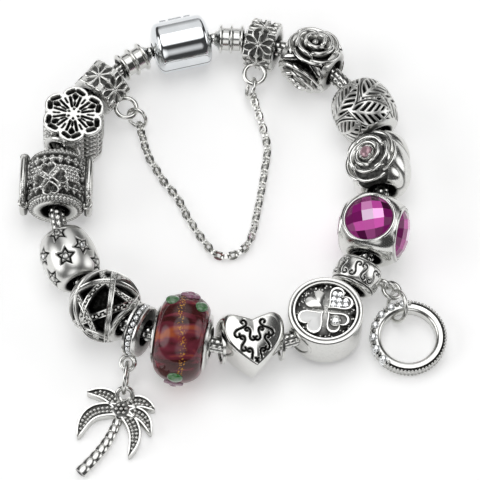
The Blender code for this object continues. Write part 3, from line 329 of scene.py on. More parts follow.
class BraceletColours(bpy.types.PropertyGroup):
    """Colours that a user would change."""

    silver: colour_property("Silver", "The silver where it is polished", "DCDCD9")
    tarnish: colour_property("Tarnish", "The black silver sulphide left in the recesses", "0C0C0B")
    glass: colour_property("Glass", "The lampwork glass", "943E50")
    blossom: colour_property("Blossom", "The raised mauve blossoms on the glass", "8E5674")
    leaf: colour_property("Leaf", "The green glass dots", "1F6E24")
    crystal: colour_property("Crystal", "The large cut stones", "C32BA0")
    rose_stone: colour_property("Rose stone", "The small pink stone", "B4929B")
    enamel: colour_property("Enamel", "The white heart", "F6F6F4")
    floor: colour_property("Floor", "The surface that the bracelet lies on", "FFFFFF")


# The loop and its frames, in metres


def shift(x=0, y=0, z=0):
    return Matrix.Translation((x * MM, y * MM, z * MM))


def turn(degrees, axis):
    return Matrix.Rotation(math.radians(degrees), 4, axis)


def eased(a, b, c, d, t):
    """A point between b and c on the smooth curve through a, b, c and d: the usual cubic in t."""
    return 0.5 * (2 * b + (c - a) * t + (2 * a - 5 * b + 4 * c - d) * t**2 + (3 * (b - c) + d - a) * t**3)


def loop_table():
    """(distances, points) along the closed route, grown sideways so that all stations just fill it."""
    knots = np.array(ROUTE) * MM
    places = np.arange(len(ROUTE) * LOOP_STEPS + 1) / LOOP_STEPS
    k = np.floor(places).astype(int)
    a, b, c, d = (knots[(k + n) % len(ROUTE)] for n in (-1, 0, 1, 2))
    points = eased(a, b, c, d, (places - k)[:, None])
    lengths = np.linalg.norm(np.diff(points, axis=0), axis=1)
    grow = sum(row.length + row.gap for row in STATIONS) * MM / lengths.sum()
    middle = points.mean(axis=0)
    wide = middle + (points - middle) * grow
    wide[:, 2] = points[:, 2]
    return np.concatenate([[0], np.cumsum(lengths)]) * grow, wide


DISTANCES, POINTS = loop_table()


def route_point(distance):
    distance %= DISTANCES[-1]
    return Vector([np.interp(distance, DISTANCES, POINTS[:, k]) for k in range(3)])


def starts():
    """Where each station starts along the loop. The clasp's middle is at the route's first point."""
    found = {}
    distance = -ROWS["clasp"].length / 2 * MM
    for row in STATIONS:
        found[row.name] = distance
        distance += (row.length + row.gap) * MM
    return found


STARTS = starts()


def upright(centre, ahead):
    """A frame at centre with X towards ahead, Y level and to its left, and Z up."""
    x = ahead.normalized()
    y = Vector((0, 0, 1)).cross(x).normalized()
    return Matrix.Translation(centre) @ Matrix((x, y, x.cross(y))).transposed().to_4x4()


def loose_frame(name):
    """A station's frame before the whole bracelet is set over the origin."""
    row = ROWS[name]
    start = route_point(STARTS[name])
    end = route_point(STARTS[name] + row.length * MM)
    middle = ((start + end) / 2 + route_point(STARTS[name] + row.length / 2 * MM)) / 2
    return upright(middle, end - start) @ turn(row.roll, "X")


HINGE = Vector(frame["joints"][0]["pos_m"])
OFFSET = HINGE - loose_frame("clasp") @ Vector((0, -CLASP_RADIUS * MM, 0))


def station_frame(name):
    return Matrix.Translation(OFFSET) @ loose_frame(name)


def size_in_mm(name):
    """One of the sizes that a user would change."""
    return getattr(bpy.context.scene.bracelet_sizes, name) / MM


# Shapes


class Shape:
    """Points in mm, the faces between them, a tarnish value for each point and a finish number."""

    def __init__(self, points, quads=None, triangles=None, tarnish=0.0, finish=0, smooth=True):
        self.points = np.asarray(points, float).reshape(-1, 3)
        self.quads = np.zeros((0, 4), int) if quads is None else np.asarray(quads, int)
        self.triangles = np.zeros((0, 3), int) if triangles is None else np.asarray(triangles, int)
        self.tarnish = np.zeros(len(self.points)) + np.ravel(tarnish)
        self.finish = finish
        self.smooth = smooth

    def moved(self, matrix):
        """The same shape carried by a matrix whose shift is in metres."""
        m = np.array(matrix)
        points = self.points @ m[:3, :3].T + m[:3, 3] / MM
        return Shape(points, self.quads, self.triangles, self.tarnish, self.finish, self.smooth)


def moved(shapes, matrix):
    return [shape.moved(matrix) for shape in shapes]


def grid_quads(rows, columns, close_rows, close_columns):
    """Quads of a grid of points that runs ahead by rows and anticlockwise by columns."""
    r, c = np.meshgrid(
        np.arange(rows if close_rows else rows - 1),
        np.arange(columns if close_columns else columns - 1),
        indexing="ij",
    )
    r2, c2 = (r + 1) % rows, (c + 1) % columns
    corners = [r * columns + c, r * columns + c2, r2 * columns + c2, r2 * columns + c]
    return np.stack(corners, -1).reshape(-1, 4)


def skin(sections, looped=False, tarnish=0.0, finish=0, smooth=True):
    """A surface through closed sections (stations, points, xyz), its two ends closed by fans.

    Seen along the path, each section runs clockwise, which is anticlockwise about the path.
    """
    stations, count, _ = sections.shape
    points = sections.reshape(-1, 3)
    quads = grid_quads(stations, count, looped, True)
    tarnish = np.broadcast_to(tarnish, (stations, count)).ravel()
    if looped:
        return Shape(points, quads, None, tarnish, finish, smooth)
    i = np.arange(count)
    j = (i + 1) % count
    last = (stations - 1) * count
    first_middle = np.full(count, len(points))
    low = np.stack([first_middle, j, i], -1)
    high = np.stack([first_middle + 1, last + i, last + j], -1)
    points = np.concatenate([points, sections[[0, -1]].mean(axis=1)])
    tarnish = np.concatenate([tarnish, [tarnish[0], tarnish[-1]]])
    return Shape(points, quads, np.concatenate([low, high]), tarnish, finish, smooth)


def unit(vectors):
    return vectors / np.maximum(np.linalg.norm(vectors, axis=-1, keepdims=True), 1e-12)


def path_frames(path, up, closed=False):
    """The tangent of a path at each point, with a side and a rise across it: rise is up made square."""
    if closed:
        ahead = unit(np.roll(path, -1, axis=0) - np.roll(path, 1, axis=0))
    else:
        ahead = unit(np.gradient(path, axis=0))
    up = np.broadcast_to(np.asarray(up, float), path.shape)
    side = unit(np.cross(up, ahead))
    return ahead, side, np.cross(ahead, side)


def sweep(path, section, up=(0, 0, 1), scale=1.0, closed=False, **look):
    """A section of (side, rise) pairs, anticlockwise, carried along a path and scaled at each point."""
    path = np.asarray(path, float)
    _, side, rise = path_frames(path, up, closed)
    section = np.asarray(section, float)
    scale = np.broadcast_to(scale, (len(path),))[:, None, None]
    across = side[:, None] * section[None, :, :1] + rise[:, None] * section[None, :, 1:]
    return skin(path[:, None] + across * scale, closed, **look)


def disc(radius, count=10, flat=1.0):
    """A round section, or an oval one that is flat times as thick as it is wide."""
    a = TAU * np.arange(count) / count
    return np.stack([radius * np.cos(a), flat * radius * np.sin(a)], -1)


def wire(points, radius, count=10, smooth_steps=0, up=(0, 0, 1), **look):
    """A round wire along points, with smooth_steps points on the curve between each pair."""
    points = np.asarray(points, float)
    if smooth_steps:
        points = smooth_path(points, smooth_steps)
    return sweep(points, disc(radius, count), up, **look)


def smooth_path(points, steps, closed=False):
    """Points on the smooth curve through the given ones, steps to each span."""
    count = len(points)
    spans = count if closed else count - 1
    places = np.arange(spans * steps + (0 if closed else 1)) / steps
    k = np.minimum(np.floor(places).astype(int), spans - 1)
    ends = [(k + n) % count if closed else np.clip(k + n, 0, count - 1) for n in (-1, 0, 1, 2)]
    a, b, c, d = (points[n] for n in ends)
    return eased(a, b, c, d, (places - k)[:, None])


def hoop(major, wire_radius, count=40, sides=12, **look):
    """A round wire ring in the XY plane: a circle of radius wire_radius carried round one of major."""
    a = TAU * np.arange(count) / count
    return sweep(round_z(a, major), disc(wire_radius, sides), closed=True, **look)


def around_x(rows, count):
    """A closed profile, in rows of (along, radius, tarnish), carried round the X axis."""
    rows = np.asarray(rows, float)
    along, radius, _ = rows.T
    if np.sum(along * np.roll(radius, -1) - np.roll(along, -1) * radius) < 0:
        rows = rows[::-1]
    along, radius, tarnish = rows.T
    a = TAU * np.arange(count)[:, None] / count
    sections = np.stack([along + 0 * a, -radius * np.sin(a), radius * np.cos(a)], -1)
    return skin(sections, True, tarnish)


def around_z(rows, count):
    """A closed profile, in rows of (radius, height, tarnish), carried round the Z axis."""
    return around_x(np.asarray(rows, float)[:, [1, 0, 2]], count).moved(turn(-90, "Y"))


def sleeve(rows, count):
    """A ring about X with two like ends: the rows of the +X half, from its middle out and in to the bore."""
    rows = np.array(rows, float)
    return around_x(np.concatenate([rows, rows[::-1] * (-1, 1, 1)]), count)


def end_rings(rows, count):
    """A ring about X for a bead's +X end, from rows of (along, radius, tarnish), and its mirror image."""
    rows = np.array(rows, float)
    return [around_x(rows, count), around_x(rows * (-1, 1, 1), count)]


def round_z(a, radius, height=0.0):
    """Points at angles a about Z, at a radius and a height."""
    return np.stack([radius * np.cos(a), radius * np.sin(a), height + 0 * a], -1)


def balls(centres, radius, rings=4, sides=7, flat=1.0, **look):
    """Small balls at the centres, all from one grid of latitude and longitude, closed at the poles."""
    centres = np.asarray(centres, float).reshape(-1, 3)
    lat = PI * (np.arange(1, rings) / rings - 0.5)[:, None]
    lon = TAU * np.arange(sides) / sides
    body = np.stack([np.cos(lat) * np.cos(lon), np.cos(lat) * np.sin(lon), flat * np.sin(lat) + 0 * lon], -1)
    base = np.concatenate([body.reshape(-1, 3), [(0, 0, -flat), (0, 0, flat)]])
    i = np.arange(sides)
    j = (i + 1) % sides
    top = (rings - 2) * sides
    low_pole = np.full(sides, (rings - 1) * sides)
    fans = np.concatenate([np.stack([low_pole, j, i], -1), np.stack([low_pole + 1, top + i, top + j], -1)])
    quads = grid_quads(rings - 1, sides, False, True)
    radius = np.broadcast_to(radius, (len(centres),))[:, None, None]
    step = (np.arange(len(centres)) * len(base))[:, None, None]
    points = centres[:, None] + base * radius
    return Shape(points, (quads + step).reshape(-1, 4), (fans + step).reshape(-1, 3), **look)


def gems(centres, normals, radius, sides=8, crown=0.45, table=0.55, depth=0.5, **look):
    """Round cut stones: a table, a ring of slanting crown facets and a pointed pavilion."""
    centres = np.asarray(centres, float).reshape(-1, 3)
    normals = unit(np.broadcast_to(np.asarray(normals, float), centres.shape))
    guide = np.where(np.abs(normals[:, 2:]) < 0.9, [[0.0, 0.0, 1.0]], [[1.0, 0.0, 0.0]])
    x = unit(np.cross(guide, normals))
    y = np.cross(normals, x)
    a = TAU * np.arange(sides) / sides
    half = a + PI / sides
    rows = [(table, a, crown), (0.86, half, 0.55 * crown), (1.0, a, 0.0), (0.3, a, -depth)]
    base = np.concatenate([round_z(b, r, z) for r, b, z in rows] + [[(0, 0, crown), (0, 0, -depth)]])
    i = np.arange(sides)
    j = (i + 1) % sides
    top = np.full(sides, 4 * sides)
    kinds = [
        (top, i, j),
        (i, sides + i, j),
        (sides + i, sides + j, j),
        (sides + i, 2 * sides + i, 2 * sides + j),
        (sides + i, 2 * sides + j, sides + j),
        (2 * sides + i, 3 * sides + i, 3 * sides + j),
        (2 * sides + i, 3 * sides + j, 2 * sides + j),
        (3 * sides + i, top + 1, 3 * sides + j),
    ]
    kinds = np.concatenate([np.stack(kind, -1) for kind in kinds])
    radius = np.broadcast_to(radius, (len(centres),))[:, None, None]
    turned = base @ np.stack([x, y, normals], 1)
    step = (np.arange(len(centres)) * len(base))[:, None, None]
    points = centres[:, None] + turned * radius
    return Shape(points, None, (kinds + step).reshape(-1, 3), smooth=False, **look)


def soft_step(field, width):
    """1 where the field is below -width, 0 above +width, and smooth between them."""
    t = np.clip(0.5 - field / (2 * width), 0, 1)
    return t * t * (3 - 2 * t)


def bead_surface(length, radius, end, count, rows, power=2.0, bore=BORE):
    """The grid of a bored bead: angles by profile points, with outward normals.

    The profile swells from end at the rims to radius in the middle by the curve
    (1 - |x|^power)^(1/power), and goes back through the bore.
    """
    s = np.linspace(-1, 1, rows)
    x = np.sin(s * PI / 2)
    swell = np.clip(1 - np.abs(x) ** power, 0, 1) ** (1 / power)
    half = length / 2
    along = np.concatenate([(x * half)[::-1], [-half, -half + 0.5, half - 0.5, half]])
    outer = (end + (radius - end) * swell)[::-1]
    across = np.concatenate([outer, [bore + 0.15, bore, bore, bore + 0.15]])
    a = TAU * np.arange(count)[:, None] / count
    points = np.stack([along + 0 * a, -across * np.sin(a), across * np.cos(a)], -1)
    side = np.gradient(points, axis=1)
    side[:, IN_BORE] = 0
    round_ = np.stack([0 * a + 0 * along, -np.cos(a) + 0 * along, -np.sin(a) + 0 * along], -1)
    normals = unit(np.cross(side, round_))
    normals[:, IN_BORE] = 0
    return points, normals


def relief(points, normals, height, tarnish, **look):
    """The bead's grid pushed along its normals by height, in mm."""
    return skin(points + normals * height[..., None], True, tarnish=tarnish, **look)


def local(points, around, along, spin=0.0):
    """The points' x, y and z in the frame of a stamp: around X, then along, then spun."""
    matrix = turn(around, "X") @ turn(along, "Y") @ turn(spin, "Z")
    return np.moveaxis(points @ np.array(matrix)[:3, :3], -1, 0)


def star_field(x, y, radius, inner=0.5):
    """Distance from a five-pointed star's edge, below 0 inside it."""
    r = np.hypot(x, y)
    a = np.abs((np.arctan2(y, x) - PI / 2 + PI / 5) % (TAU / 5) - PI / 5)
    px, py = r * np.cos(a), r * np.sin(a)
    vx, vy = inner * radius * math.cos(PI / 5) - radius, inner * radius * math.sin(PI / 5)
    return -(vx * py - vy * (px - radius)) / math.hypot(vx, vy)


def heart_curve(width, count=64):
    """The sine-cosine heart with its point towards -Y, centred, anticlockwise."""
    a = -TAU * (np.arange(count) + 0.5) / count
    x = 16 * np.sin(a) ** 3
    y = 13 * np.cos(a) - 5 * np.cos(2 * a) - 2 * np.cos(3 * a) - np.cos(4 * a)
    return np.stack([x, y + 2.5], -1) * width / 32


def heart_field(x, y, width):
    """Distance from a heart's edge along the ray from its middle, below 0 inside it."""
    curve = heart_curve(width, 180)
    angle = np.arctan2(curve[:, 1], curve[:, 0])
    reach = np.hypot(curve[:, 0], curve[:, 1])
    order = np.argsort(angle)
    return np.hypot(x, y) - np.interp(np.arctan2(y, x), angle[order], reach[order], period=TAU)


def line_field(x, y, start, end, width):
    """Distance from a round-ended bar between two points, below 0 inside it."""
    sx, sy = start
    dx, dy = end[0] - sx, end[1] - sy
    t = np.clip(((x - sx) * dx + (y - sy) * dy) / (dx * dx + dy * dy), 0, 1)
    return np.hypot(x - sx - t * dx, y - sy - t * dy) - width / 2


def drop_field(x, y, start, end, width, direction):
    """A teardrop between two radii along a direction: its half width grows as a sine bent outwards."""
    c, s = math.cos(direction), math.sin(direction)
    u, v = x * c + y * s, -x * s + y * c
    t = np.clip((u - start) / (end - start), 0, 1)
    half = width / 2 * np.sin(PI * t**1.5) ** 0.8
    outside = np.maximum(start - u, u - end)
    return np.maximum(np.abs(v) - half, outside)


def grains(x, y, pitch):
    """Rows of little domes, every other row set over by half a pitch."""
    row = np.round(y / (pitch * 0.866))
    off = x / pitch - 0.5 * (row % 2)
    dx = (off - np.round(off)) * pitch
    dy = y - row * pitch * 0.866
    return np.clip(1 - (dx * dx + dy * dy) / (0.25 * pitch * pitch), 0, 1) ** 0.5


# Finishes


def add_node(tree, kind, settings=None, **inputs):
    """One node with its settings, and its inputs filled."""
    node = tree.nodes.new(kind)
    for key, value in (settings or {}).items():
        setattr(node, key, value)
    fill(tree, node, **inputs)
    return node


def fill(tree, node, **inputs):
    """Link each socket, or set each plain value, at an input given by its name or as n and its number."""
    for key, value in inputs.items():
        number = key[1:]
        socket = node.inputs[int(number)] if number.isdigit() else node.inputs[key.replace("_", " ")]
        if isinstance(value, bpy.types.NodeSocket):
            tree.links.new(value, socket)
        elif socket.type == "RGBA":
            socket.default_value = (*value, 1)
        else:
            socket.default_value = value


def new_finish(name):
    """A material, its node tree and its shader."""
    finish = bpy.data.materials.new(name)
    finish.use_nodes = True
    tree = finish.node_tree
    return finish, tree, tree.nodes["Principled BSDF"]


def per_mm(value):
    """A texture scale that gives this many repeats to 1 mm."""
    return value / MM


def silver_finish(name, colours, polish, wear=0.5):
    """Cast sterling silver, oxidised and then rubbed bright: black in the recesses, white on the heights."""
    finish, tree, shader = new_finish(name)
    place = add_node(tree, "ShaderNodeTexCoord").outputs["Object"]
    mottle = add_node(tree, "ShaderNodeTexNoise", Vector=place, Scale=per_mm(1.6), Detail=3.0).outputs["Fac"]
    spread = {"From_Min": 0.3, "From_Max": 0.7, "To_Min": -0.12 * wear, "To_Max": 0.16 * wear}
    rub = add_node(tree, "ShaderNodeMapRange", Value=mottle, **spread).outputs["Result"]
    recess = add_node(tree, "ShaderNodeAttribute", TARNISH).outputs["Fac"]
    depth = add_node(tree, "ShaderNodeMath", CLAMPED_SUM, n0=recess, n1=rub).outputs["Value"]
    mix = add_node(tree, "ShaderNodeMix", COLOUR_MIX, Factor=depth, n6=colours.silver, n7=colours.tarnish)
    fine = add_node(tree, "ShaderNodeTexNoise", Vector=place, Scale=per_mm(5.0), Detail=2.0).outputs["Fac"]
    gloss = add_node(tree, "ShaderNodeMapRange", Value=fine, To_Min=polish, To_Max=polish + 0.12)
    scaled = {"n0": depth, "n1": 0.35, "n2": gloss.outputs["Result"]}
    rough = add_node(tree, "ShaderNodeMath", {"operation": "MULTIPLY_ADD"}, **scaled).outputs["Value"]
    bump = add_node(tree, "ShaderNodeBump", Strength=0.12, Distance=0.02 * MM, Height=fine).outputs["Normal"]
    fill(tree, shader, Base_Color=mix.outputs[2], Metallic=1.0, Roughness=rough, Normal=bump)
    return finish


def chrome_finish(name):
    """Rhodium-plated silver, machine polished: a clean mirror with the faintest haze."""
    finish, tree, shader = new_finish(name)
    place = add_node(tree, "ShaderNodeTexCoord").outputs["Object"]
    haze = add_node(tree, "ShaderNodeTexNoise", Vector=place, Scale=per_mm(0.4), Detail=2.0).outputs["Fac"]
    gloss = add_node(tree, "ShaderNodeMapRange", Value=haze, To_Min=0.03, To_Max=0.09).outputs["Result"]
    tint = add_node(tree, "ShaderNodeMix", COLOUR_MIX, Factor=haze, n6=linear("E9EBED"), n7=linear("D5D9DC"))
    fill(tree, shader, Base_Color=tint.outputs[2], Metallic=1.0, Roughness=gloss)
    return finish


def stone_finish(name, colour, deep, spread=0.5):
    """Foil-backed crystal, under clear glass: each facet takes its own depth of colour, painted light and
    shade that stand for the light the foil throws back from each facet.

    Facets with a depth below 0 flash pale, a painted highlight.
    """
    finish, tree, shader = new_finish(name)
    facet = add_node(tree, "ShaderNodeAttribute", TARNISH).outputs["Fac"]
    mix = add_node(tree, "ShaderNodeMix", COLOUR_MIX, Factor=facet, n6=colour, n7=deep).outputs[2]
    # Painted highlight: facets with a value below 0 turn pale
    painted_highlight = add_node(tree, "ShaderNodeMapRange", Value=facet, From_Min=0.0, From_Max=-1.0).outputs["Result"]
    pale = add_node(tree, "ShaderNodeMix", COLOUR_MIX, Factor=painted_highlight, n6=mix, n7=linear("FBD9F8")).outputs[2]
    fill(tree, shader, Base_Color=pale, Metallic=spread, Roughness=0.12, IOR=1.55)
    fill(tree, shader, Coat_Weight=0.35, Coat_Roughness=0.02)
    return finish


def enamel_finish(name, colours):
    """Vitreous enamel, fired and flooded: glossy white with slight ripples."""
    finish, tree, shader = new_finish(name)
    place = add_node(tree, "ShaderNodeTexCoord").outputs["Object"]
    ripple = add_node(tree, "ShaderNodeTexNoise", Vector=place, Scale=per_mm(0.8), Detail=2.0).outputs["Fac"]
    tint = add_node(tree, "ShaderNodeMix", COLOUR_MIX, Factor=ripple, n6=colours.enamel, n7=linear("E9EAEA"))
    bump = add_node(tree, "ShaderNodeBump", Strength=0.3, Distance=0.05 * MM, Height=ripple).outputs["Normal"]
    fill(tree, shader, Base_Color=tint.outputs[2], Normal=bump, Roughness=0.12, Coat_Weight=0.6)
    return finish


def raised_glass_finish(name, colour):
    """Opaque glass dabbed on hot: full colour, streaked paler, with a wet gloss."""
    finish, tree, shader = new_finish(name)
    place = add_node(tree, "ShaderNodeTexCoord").outputs["Object"]
    swirl = add_node(tree, "ShaderNodeTexNoise", Vector=place, Scale=per_mm(0.9), Distortion=1.5)
    swirl = swirl.outputs["Fac"]
    ramp = add_node(tree, "ShaderNodeMapRange", Value=swirl, From_Min=0.35, From_Max=0.65).outputs["Result"]
    paler = [0.55 * value + 0.12 for value in colour]
    tint = add_node(tree, "ShaderNodeMix", COLOUR_MIX, Factor=ramp, n6=colour, n7=paler)
    fill(tree, shader, Base_Color=tint.outputs[2], Roughness=0.1, IOR=1.52, Coat_Weight=0.8)
    return finish


def glass_finish(name, colours):
    """Soda-lime lampwork glass, burgundy, with smoky swirls inside, orange streaks painted in as glints, and
    a line of gold glitter round it.
    """
    finish, tree, shader = new_finish(name)
    place = add_node(tree, "ShaderNodeTexCoord").outputs["Object"]
    drawn = add_node(tree, "ShaderNodeMapping", Vector=place, Scale=(0.16, 1, 1)).outputs["Vector"]
    swirl = add_node(tree, "ShaderNodeTexNoise", Vector=drawn, Scale=per_mm(0.4), Distortion=0.6)
    swirl = swirl.outputs["Fac"]
    smoke = add_node(tree, "ShaderNodeMapRange", Value=swirl, From_Min=0.4, From_Max=0.58).outputs["Result"]
    tint = add_node(tree, "ShaderNodeMix", COLOUR_MIX, Factor=smoke, n6=colours.glass, n7=linear("4E2222"))
    # Painted glints: orange streaks where the swirl is low stand for light caught inside the glass
    painted_glint = add_node(tree, "ShaderNodeMapRange", Value=swirl, From_Min=0.42, From_Max=0.3).outputs["Result"]
    with_painted_glint = add_node(tree, "ShaderNodeMix", COLOUR_MIX, Factor=painted_glint, n6=tint.outputs[2], n7=linear("C8683F"))
    flake = add_node(tree, "ShaderNodeTexVoronoi", Vector=place, Scale=per_mm(3.2)).outputs["Distance"]
    fleck = add_node(tree, "ShaderNodeMapRange", Value=flake, From_Min=0.42, From_Max=0.3).outputs["Result"]
    line = add_node(tree, "ShaderNodeAttribute", TARNISH).outputs["Fac"]
    gold = add_node(tree, "ShaderNodeMath", CLAMPED_PRODUCT, n0=fleck, n1=line).outputs["Value"]
    colour = add_node(tree, "ShaderNodeMix", COLOUR_MIX, Factor=gold, n6=with_painted_glint.outputs[2], n7=linear("D89A34"))
    clear = add_node(tree, "ShaderNodeMapRange", Value=gold, To_Min=0.38, To_Max=0.0).outputs["Result"]
    fill(tree, shader, Base_Color=colour.outputs[2], Transmission_Weight=clear, Roughness=0.03, IOR=1.52)
    fill(tree, shader, Specular_IOR_Level=0.3)
    return finish


MAKERS = {
    "oxidised_cast_silver": lambda name, colours: silver_finish(name, colours, 0.13),
    "rubbed_silver": lambda name, colours: silver_finish(name, colours, 0.09, 0.25),
    "satin_silver": lambda name, colours: silver_finish(name, colours, 0.24, 0.3),
    "rhodium_plate": lambda name, colours: chrome_finish(name),
    # The large crystals' facets carry painted light and shade; 4A0A38 is the painted shade colour
    "foil_backed_crystal_painted_light": lambda name, colours: stone_finish(name, colours.crystal, linear("4A0A38"), 0.4),
    "pale_pink_crystal": lambda name, colours: stone_finish(name, colours.rose_stone, linear("7B5560"), 0.35),
    "clear_zirconia": lambda name, colours: stone_finish(name, linear("F2F4F5"), linear("6A6E72"), 0.7),
    "fired_enamel": enamel_finish,
    "lampwork_glass": glass_finish,
    "blossom_glass": lambda name, colours: raised_glass_finish(name, colours.blossom),
    "leaf_glass": lambda name, colours: raised_glass_finish(name, colours.leaf),
}


def finish_named(name):
    """The finish of that name, made when it is first asked for."""
    if name in bpy.data.materials:
        return bpy.data.materials[name]
    return MAKERS[name](name, bpy.context.scene.bracelet_colours)


# Pieces


def build(name, shapes, finishes, replaces=(), body="bracelet", crease=40):
    """One mesh object at the origin from shapes in mm, riding on its body. Creases are in degrees."""
    steps = np.cumsum([0] + [len(shape.points) for shape in shapes[:-1]])
    points = np.concatenate([shape.points for shape in shapes]) * MM
    quads = np.concatenate([shape.quads + step for shape, step in zip(shapes, steps)])
    triangles = np.concatenate([shape.triangles + step for shape, step in zip(shapes, steps)])
    corners = np.concatenate([quads.ravel(), triangles.ravel()])
    sizes = np.repeat([4, 3], [len(quads), len(triangles)])
    counts = [len(shape.quads) for shape in shapes] + [len(shape.triangles) for shape in shapes]
    mesh = bpy.data.meshes.new(name)
    mesh.vertices.add(len(points))
    mesh.vertices.foreach_set("co", points.astype(np.float32).ravel())
    mesh.loops.add(len(corners))
    mesh.loops.foreach_set("vertex_index", corners.astype(np.int32))
    mesh.polygons.add(len(sizes))
    mesh.polygons.foreach_set("loop_start", (np.cumsum(sizes) - sizes).astype(np.int32))
    numbers = np.repeat([shape.finish for shape in shapes] * 2, counts)
    mesh.polygons.foreach_set("material_index", numbers.astype(np.int32))
    mesh.polygons.foreach_set("use_smooth", np.repeat([shape.smooth for shape in shapes] * 2, counts))
    mesh.update(calc_edges=True)
    if mesh.validate():
        raise RuntimeError(f"{name} has broken faces")
    if crease < ALL_SMOOTH:
        mesh.set_sharp_from_angle(angle=math.radians(crease))
    value = mesh.attributes.new("tarnish", "FLOAT", "POINT")
    value.data.foreach_set("value", np.concatenate([shape.tarnish for shape in shapes]).astype(np.float32))
    for finish in finishes:
        mesh.materials.append(finish_named(finish))
    piece = bpy.data.objects.new(name, mesh)
    bpy.context.scene.collection.objects.link(piece)
    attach(piece, body)
    if replaces:
        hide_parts(*replaces)
    return piece


def build_bead(name, node, shapes, finishes, crease=ALL_SMOOTH):
    """A charm whose solid has its station's name, from shapes in the charm's own frame."""
    return build(name, moved(shapes, station_frame(node)), finishes, [node], crease=crease)


def seen_at(name, right, up, radius):
    """The (around, along) of the spot on a charm that the camera sees right and up of its middle, in mm."""
    out = math.sqrt(max(radius * radius - right * right - up * up, 0))
    world = Vector((right, 0, 0)) + SCREEN_UP * up + TO_CAMERA * out
    spot = (station_frame(name).to_3x3().inverted() @ world).normalized()
    return math.degrees(math.atan2(-spot.y, spot.z)), math.degrees(math.asin(spot.x))


# Clasp, caps and chains


def half_barrel(outer, inner, low, high, count):
    """A wall between two profiles of (along, radius), carried about X from low to high degrees.

    Low and high may differ from point to point of the profile, which notches the wall's edges. Only the
    first and last four rows lean to follow them, so that the rest of the wall stays a true cylinder.
    """
    loop = np.concatenate([outer, inner[::-1]])
    low = np.broadcast_to(low, (len(outer),))
    high = np.broadcast_to(high, (len(outer),))
    low, high = np.concatenate([low, low[::-1]]), np.concatenate([high, high[::-1]])
    first, last = np.max(low) + 1.5, np.min(high) - 1.5
    t = np.linspace(0, 1, 5)[:, None]
    even = np.linspace(first, last, count)[:, None] + 0 * low
    a = np.radians(np.concatenate([low + (first - low) * t[:-1], even, last + (high - last) * t[1:]]))
    count = len(a)
    sections = np.stack([loop[:, 0] + 0 * a, -loop[:, 1] * np.sin(a), loop[:, 1] * np.cos(a)], -1)
    size = len(loop)
    i = np.arange(len(outer) - 1)
    j = size - 1 - i
    near = np.stack([j, j - 1, i + 1, i], -1)
    far = np.stack([i, i + 1, j - 1, j], -1) + (count - 1) * size
    quads = np.concatenate([grid_quads(count, size, False, True), near, far])
    return Shape(sections.reshape(-1, 3), quads)


def rod(radius, low, high, sides=24, bevel=0.12, **look):
    """A round bar along X with bevelled ends."""
    path = [(low, 0, 0), (low, 0, 0), (low + bevel, 0, 0), (high - bevel, 0, 0), (high, 0, 0), (high, 0, 0)]
    a = TAU * np.arange(sides) / sides
    circle = np.stack([0 * a, -np.sin(a), np.cos(a)], -1)
    size = np.array([0.02, radius - bevel, radius, radius, radius - bevel, 0.02])
    return skin(np.array(path)[:, None] + circle * size[:, None, None], **look)


def clasp_profiles():
    """The barrel's outer and inner profiles, from +X to -X: a plain band between two domed ends."""
    dome = np.radians(np.linspace(8, 90, 9))
    reach = CLASP_RADIUS - CLASP_MOUTH
    side = ROWS["clasp"].length / 2 - CLASP_BAND
    end = np.stack([CLASP_BAND + side * np.cos(dome * 0.97), CLASP_MOUTH + reach * np.sin(dome)], -1)
    end[0, 1] = CLASP_MOUTH
    end[-1] = (CLASP_BAND, CLASP_RADIUS)
    steps = [(x, CLASP_RADIUS) for x in (3.1, 3.05, 1.5, 1.45, -1.45, -1.5, -3.05, -3.1)]
    outer = np.concatenate([end, steps, end[::-1] * (-1, 1)])
    x = outer[:, 0]
    inner_x = np.where(np.abs(x) > 3.4, np.sign(x) * (1.7 + 0.5 * np.abs(x)), x)
    return outer, np.stack([inner_x, np.maximum(CLASP_MOUTH, outer[:, 1] - CLASP_WALL)], -1)


def make_clasp():
    """Two half shells with knuckles on one pin: each shell is notched round the other's knuckles."""
    outer, inner = clasp_profiles()
    place = station_frame("clasp")
    seam = 1.2
    notch = 13.5
    along = np.abs(outer[:, 0])
    middle = HINGE_LENGTH / 2
    far = middle + 0.3 + HINGE_LENGTH / 2
    at_hinge = shift(y=-CLASP_RADIUS)
    low = 90 + np.where((along > 1.47) & (along < 3.07), notch, seam)
    lower = [half_barrel(outer, inner, low, 270 - seam, 90)]
    lower += moved([rod(HINGE_RADIUS, -middle, middle), rod(0.3, -far - 0.06, far + 0.06)], at_hinge)
    chrome = ["rhodium_plate"]
    build("clasp_lower_shell", moved(lower, place), chrome, ["clasp_base"], crease=30)
    high = 90 - np.where(along < 1.47, notch, seam)
    upper = [half_barrel(outer, inner, seam - 90, high, 90)]
    for side in (-1, 1):
        near, end = sorted((side * (middle + 0.3), side * far))
        upper += moved([rod(HINGE_RADIUS, near, end)], at_hinge)
    lid = moved(upper, place)
    build("clasp_upper_shell", lid, chrome, ["clasp_lid"], "clasp_lid", 30)


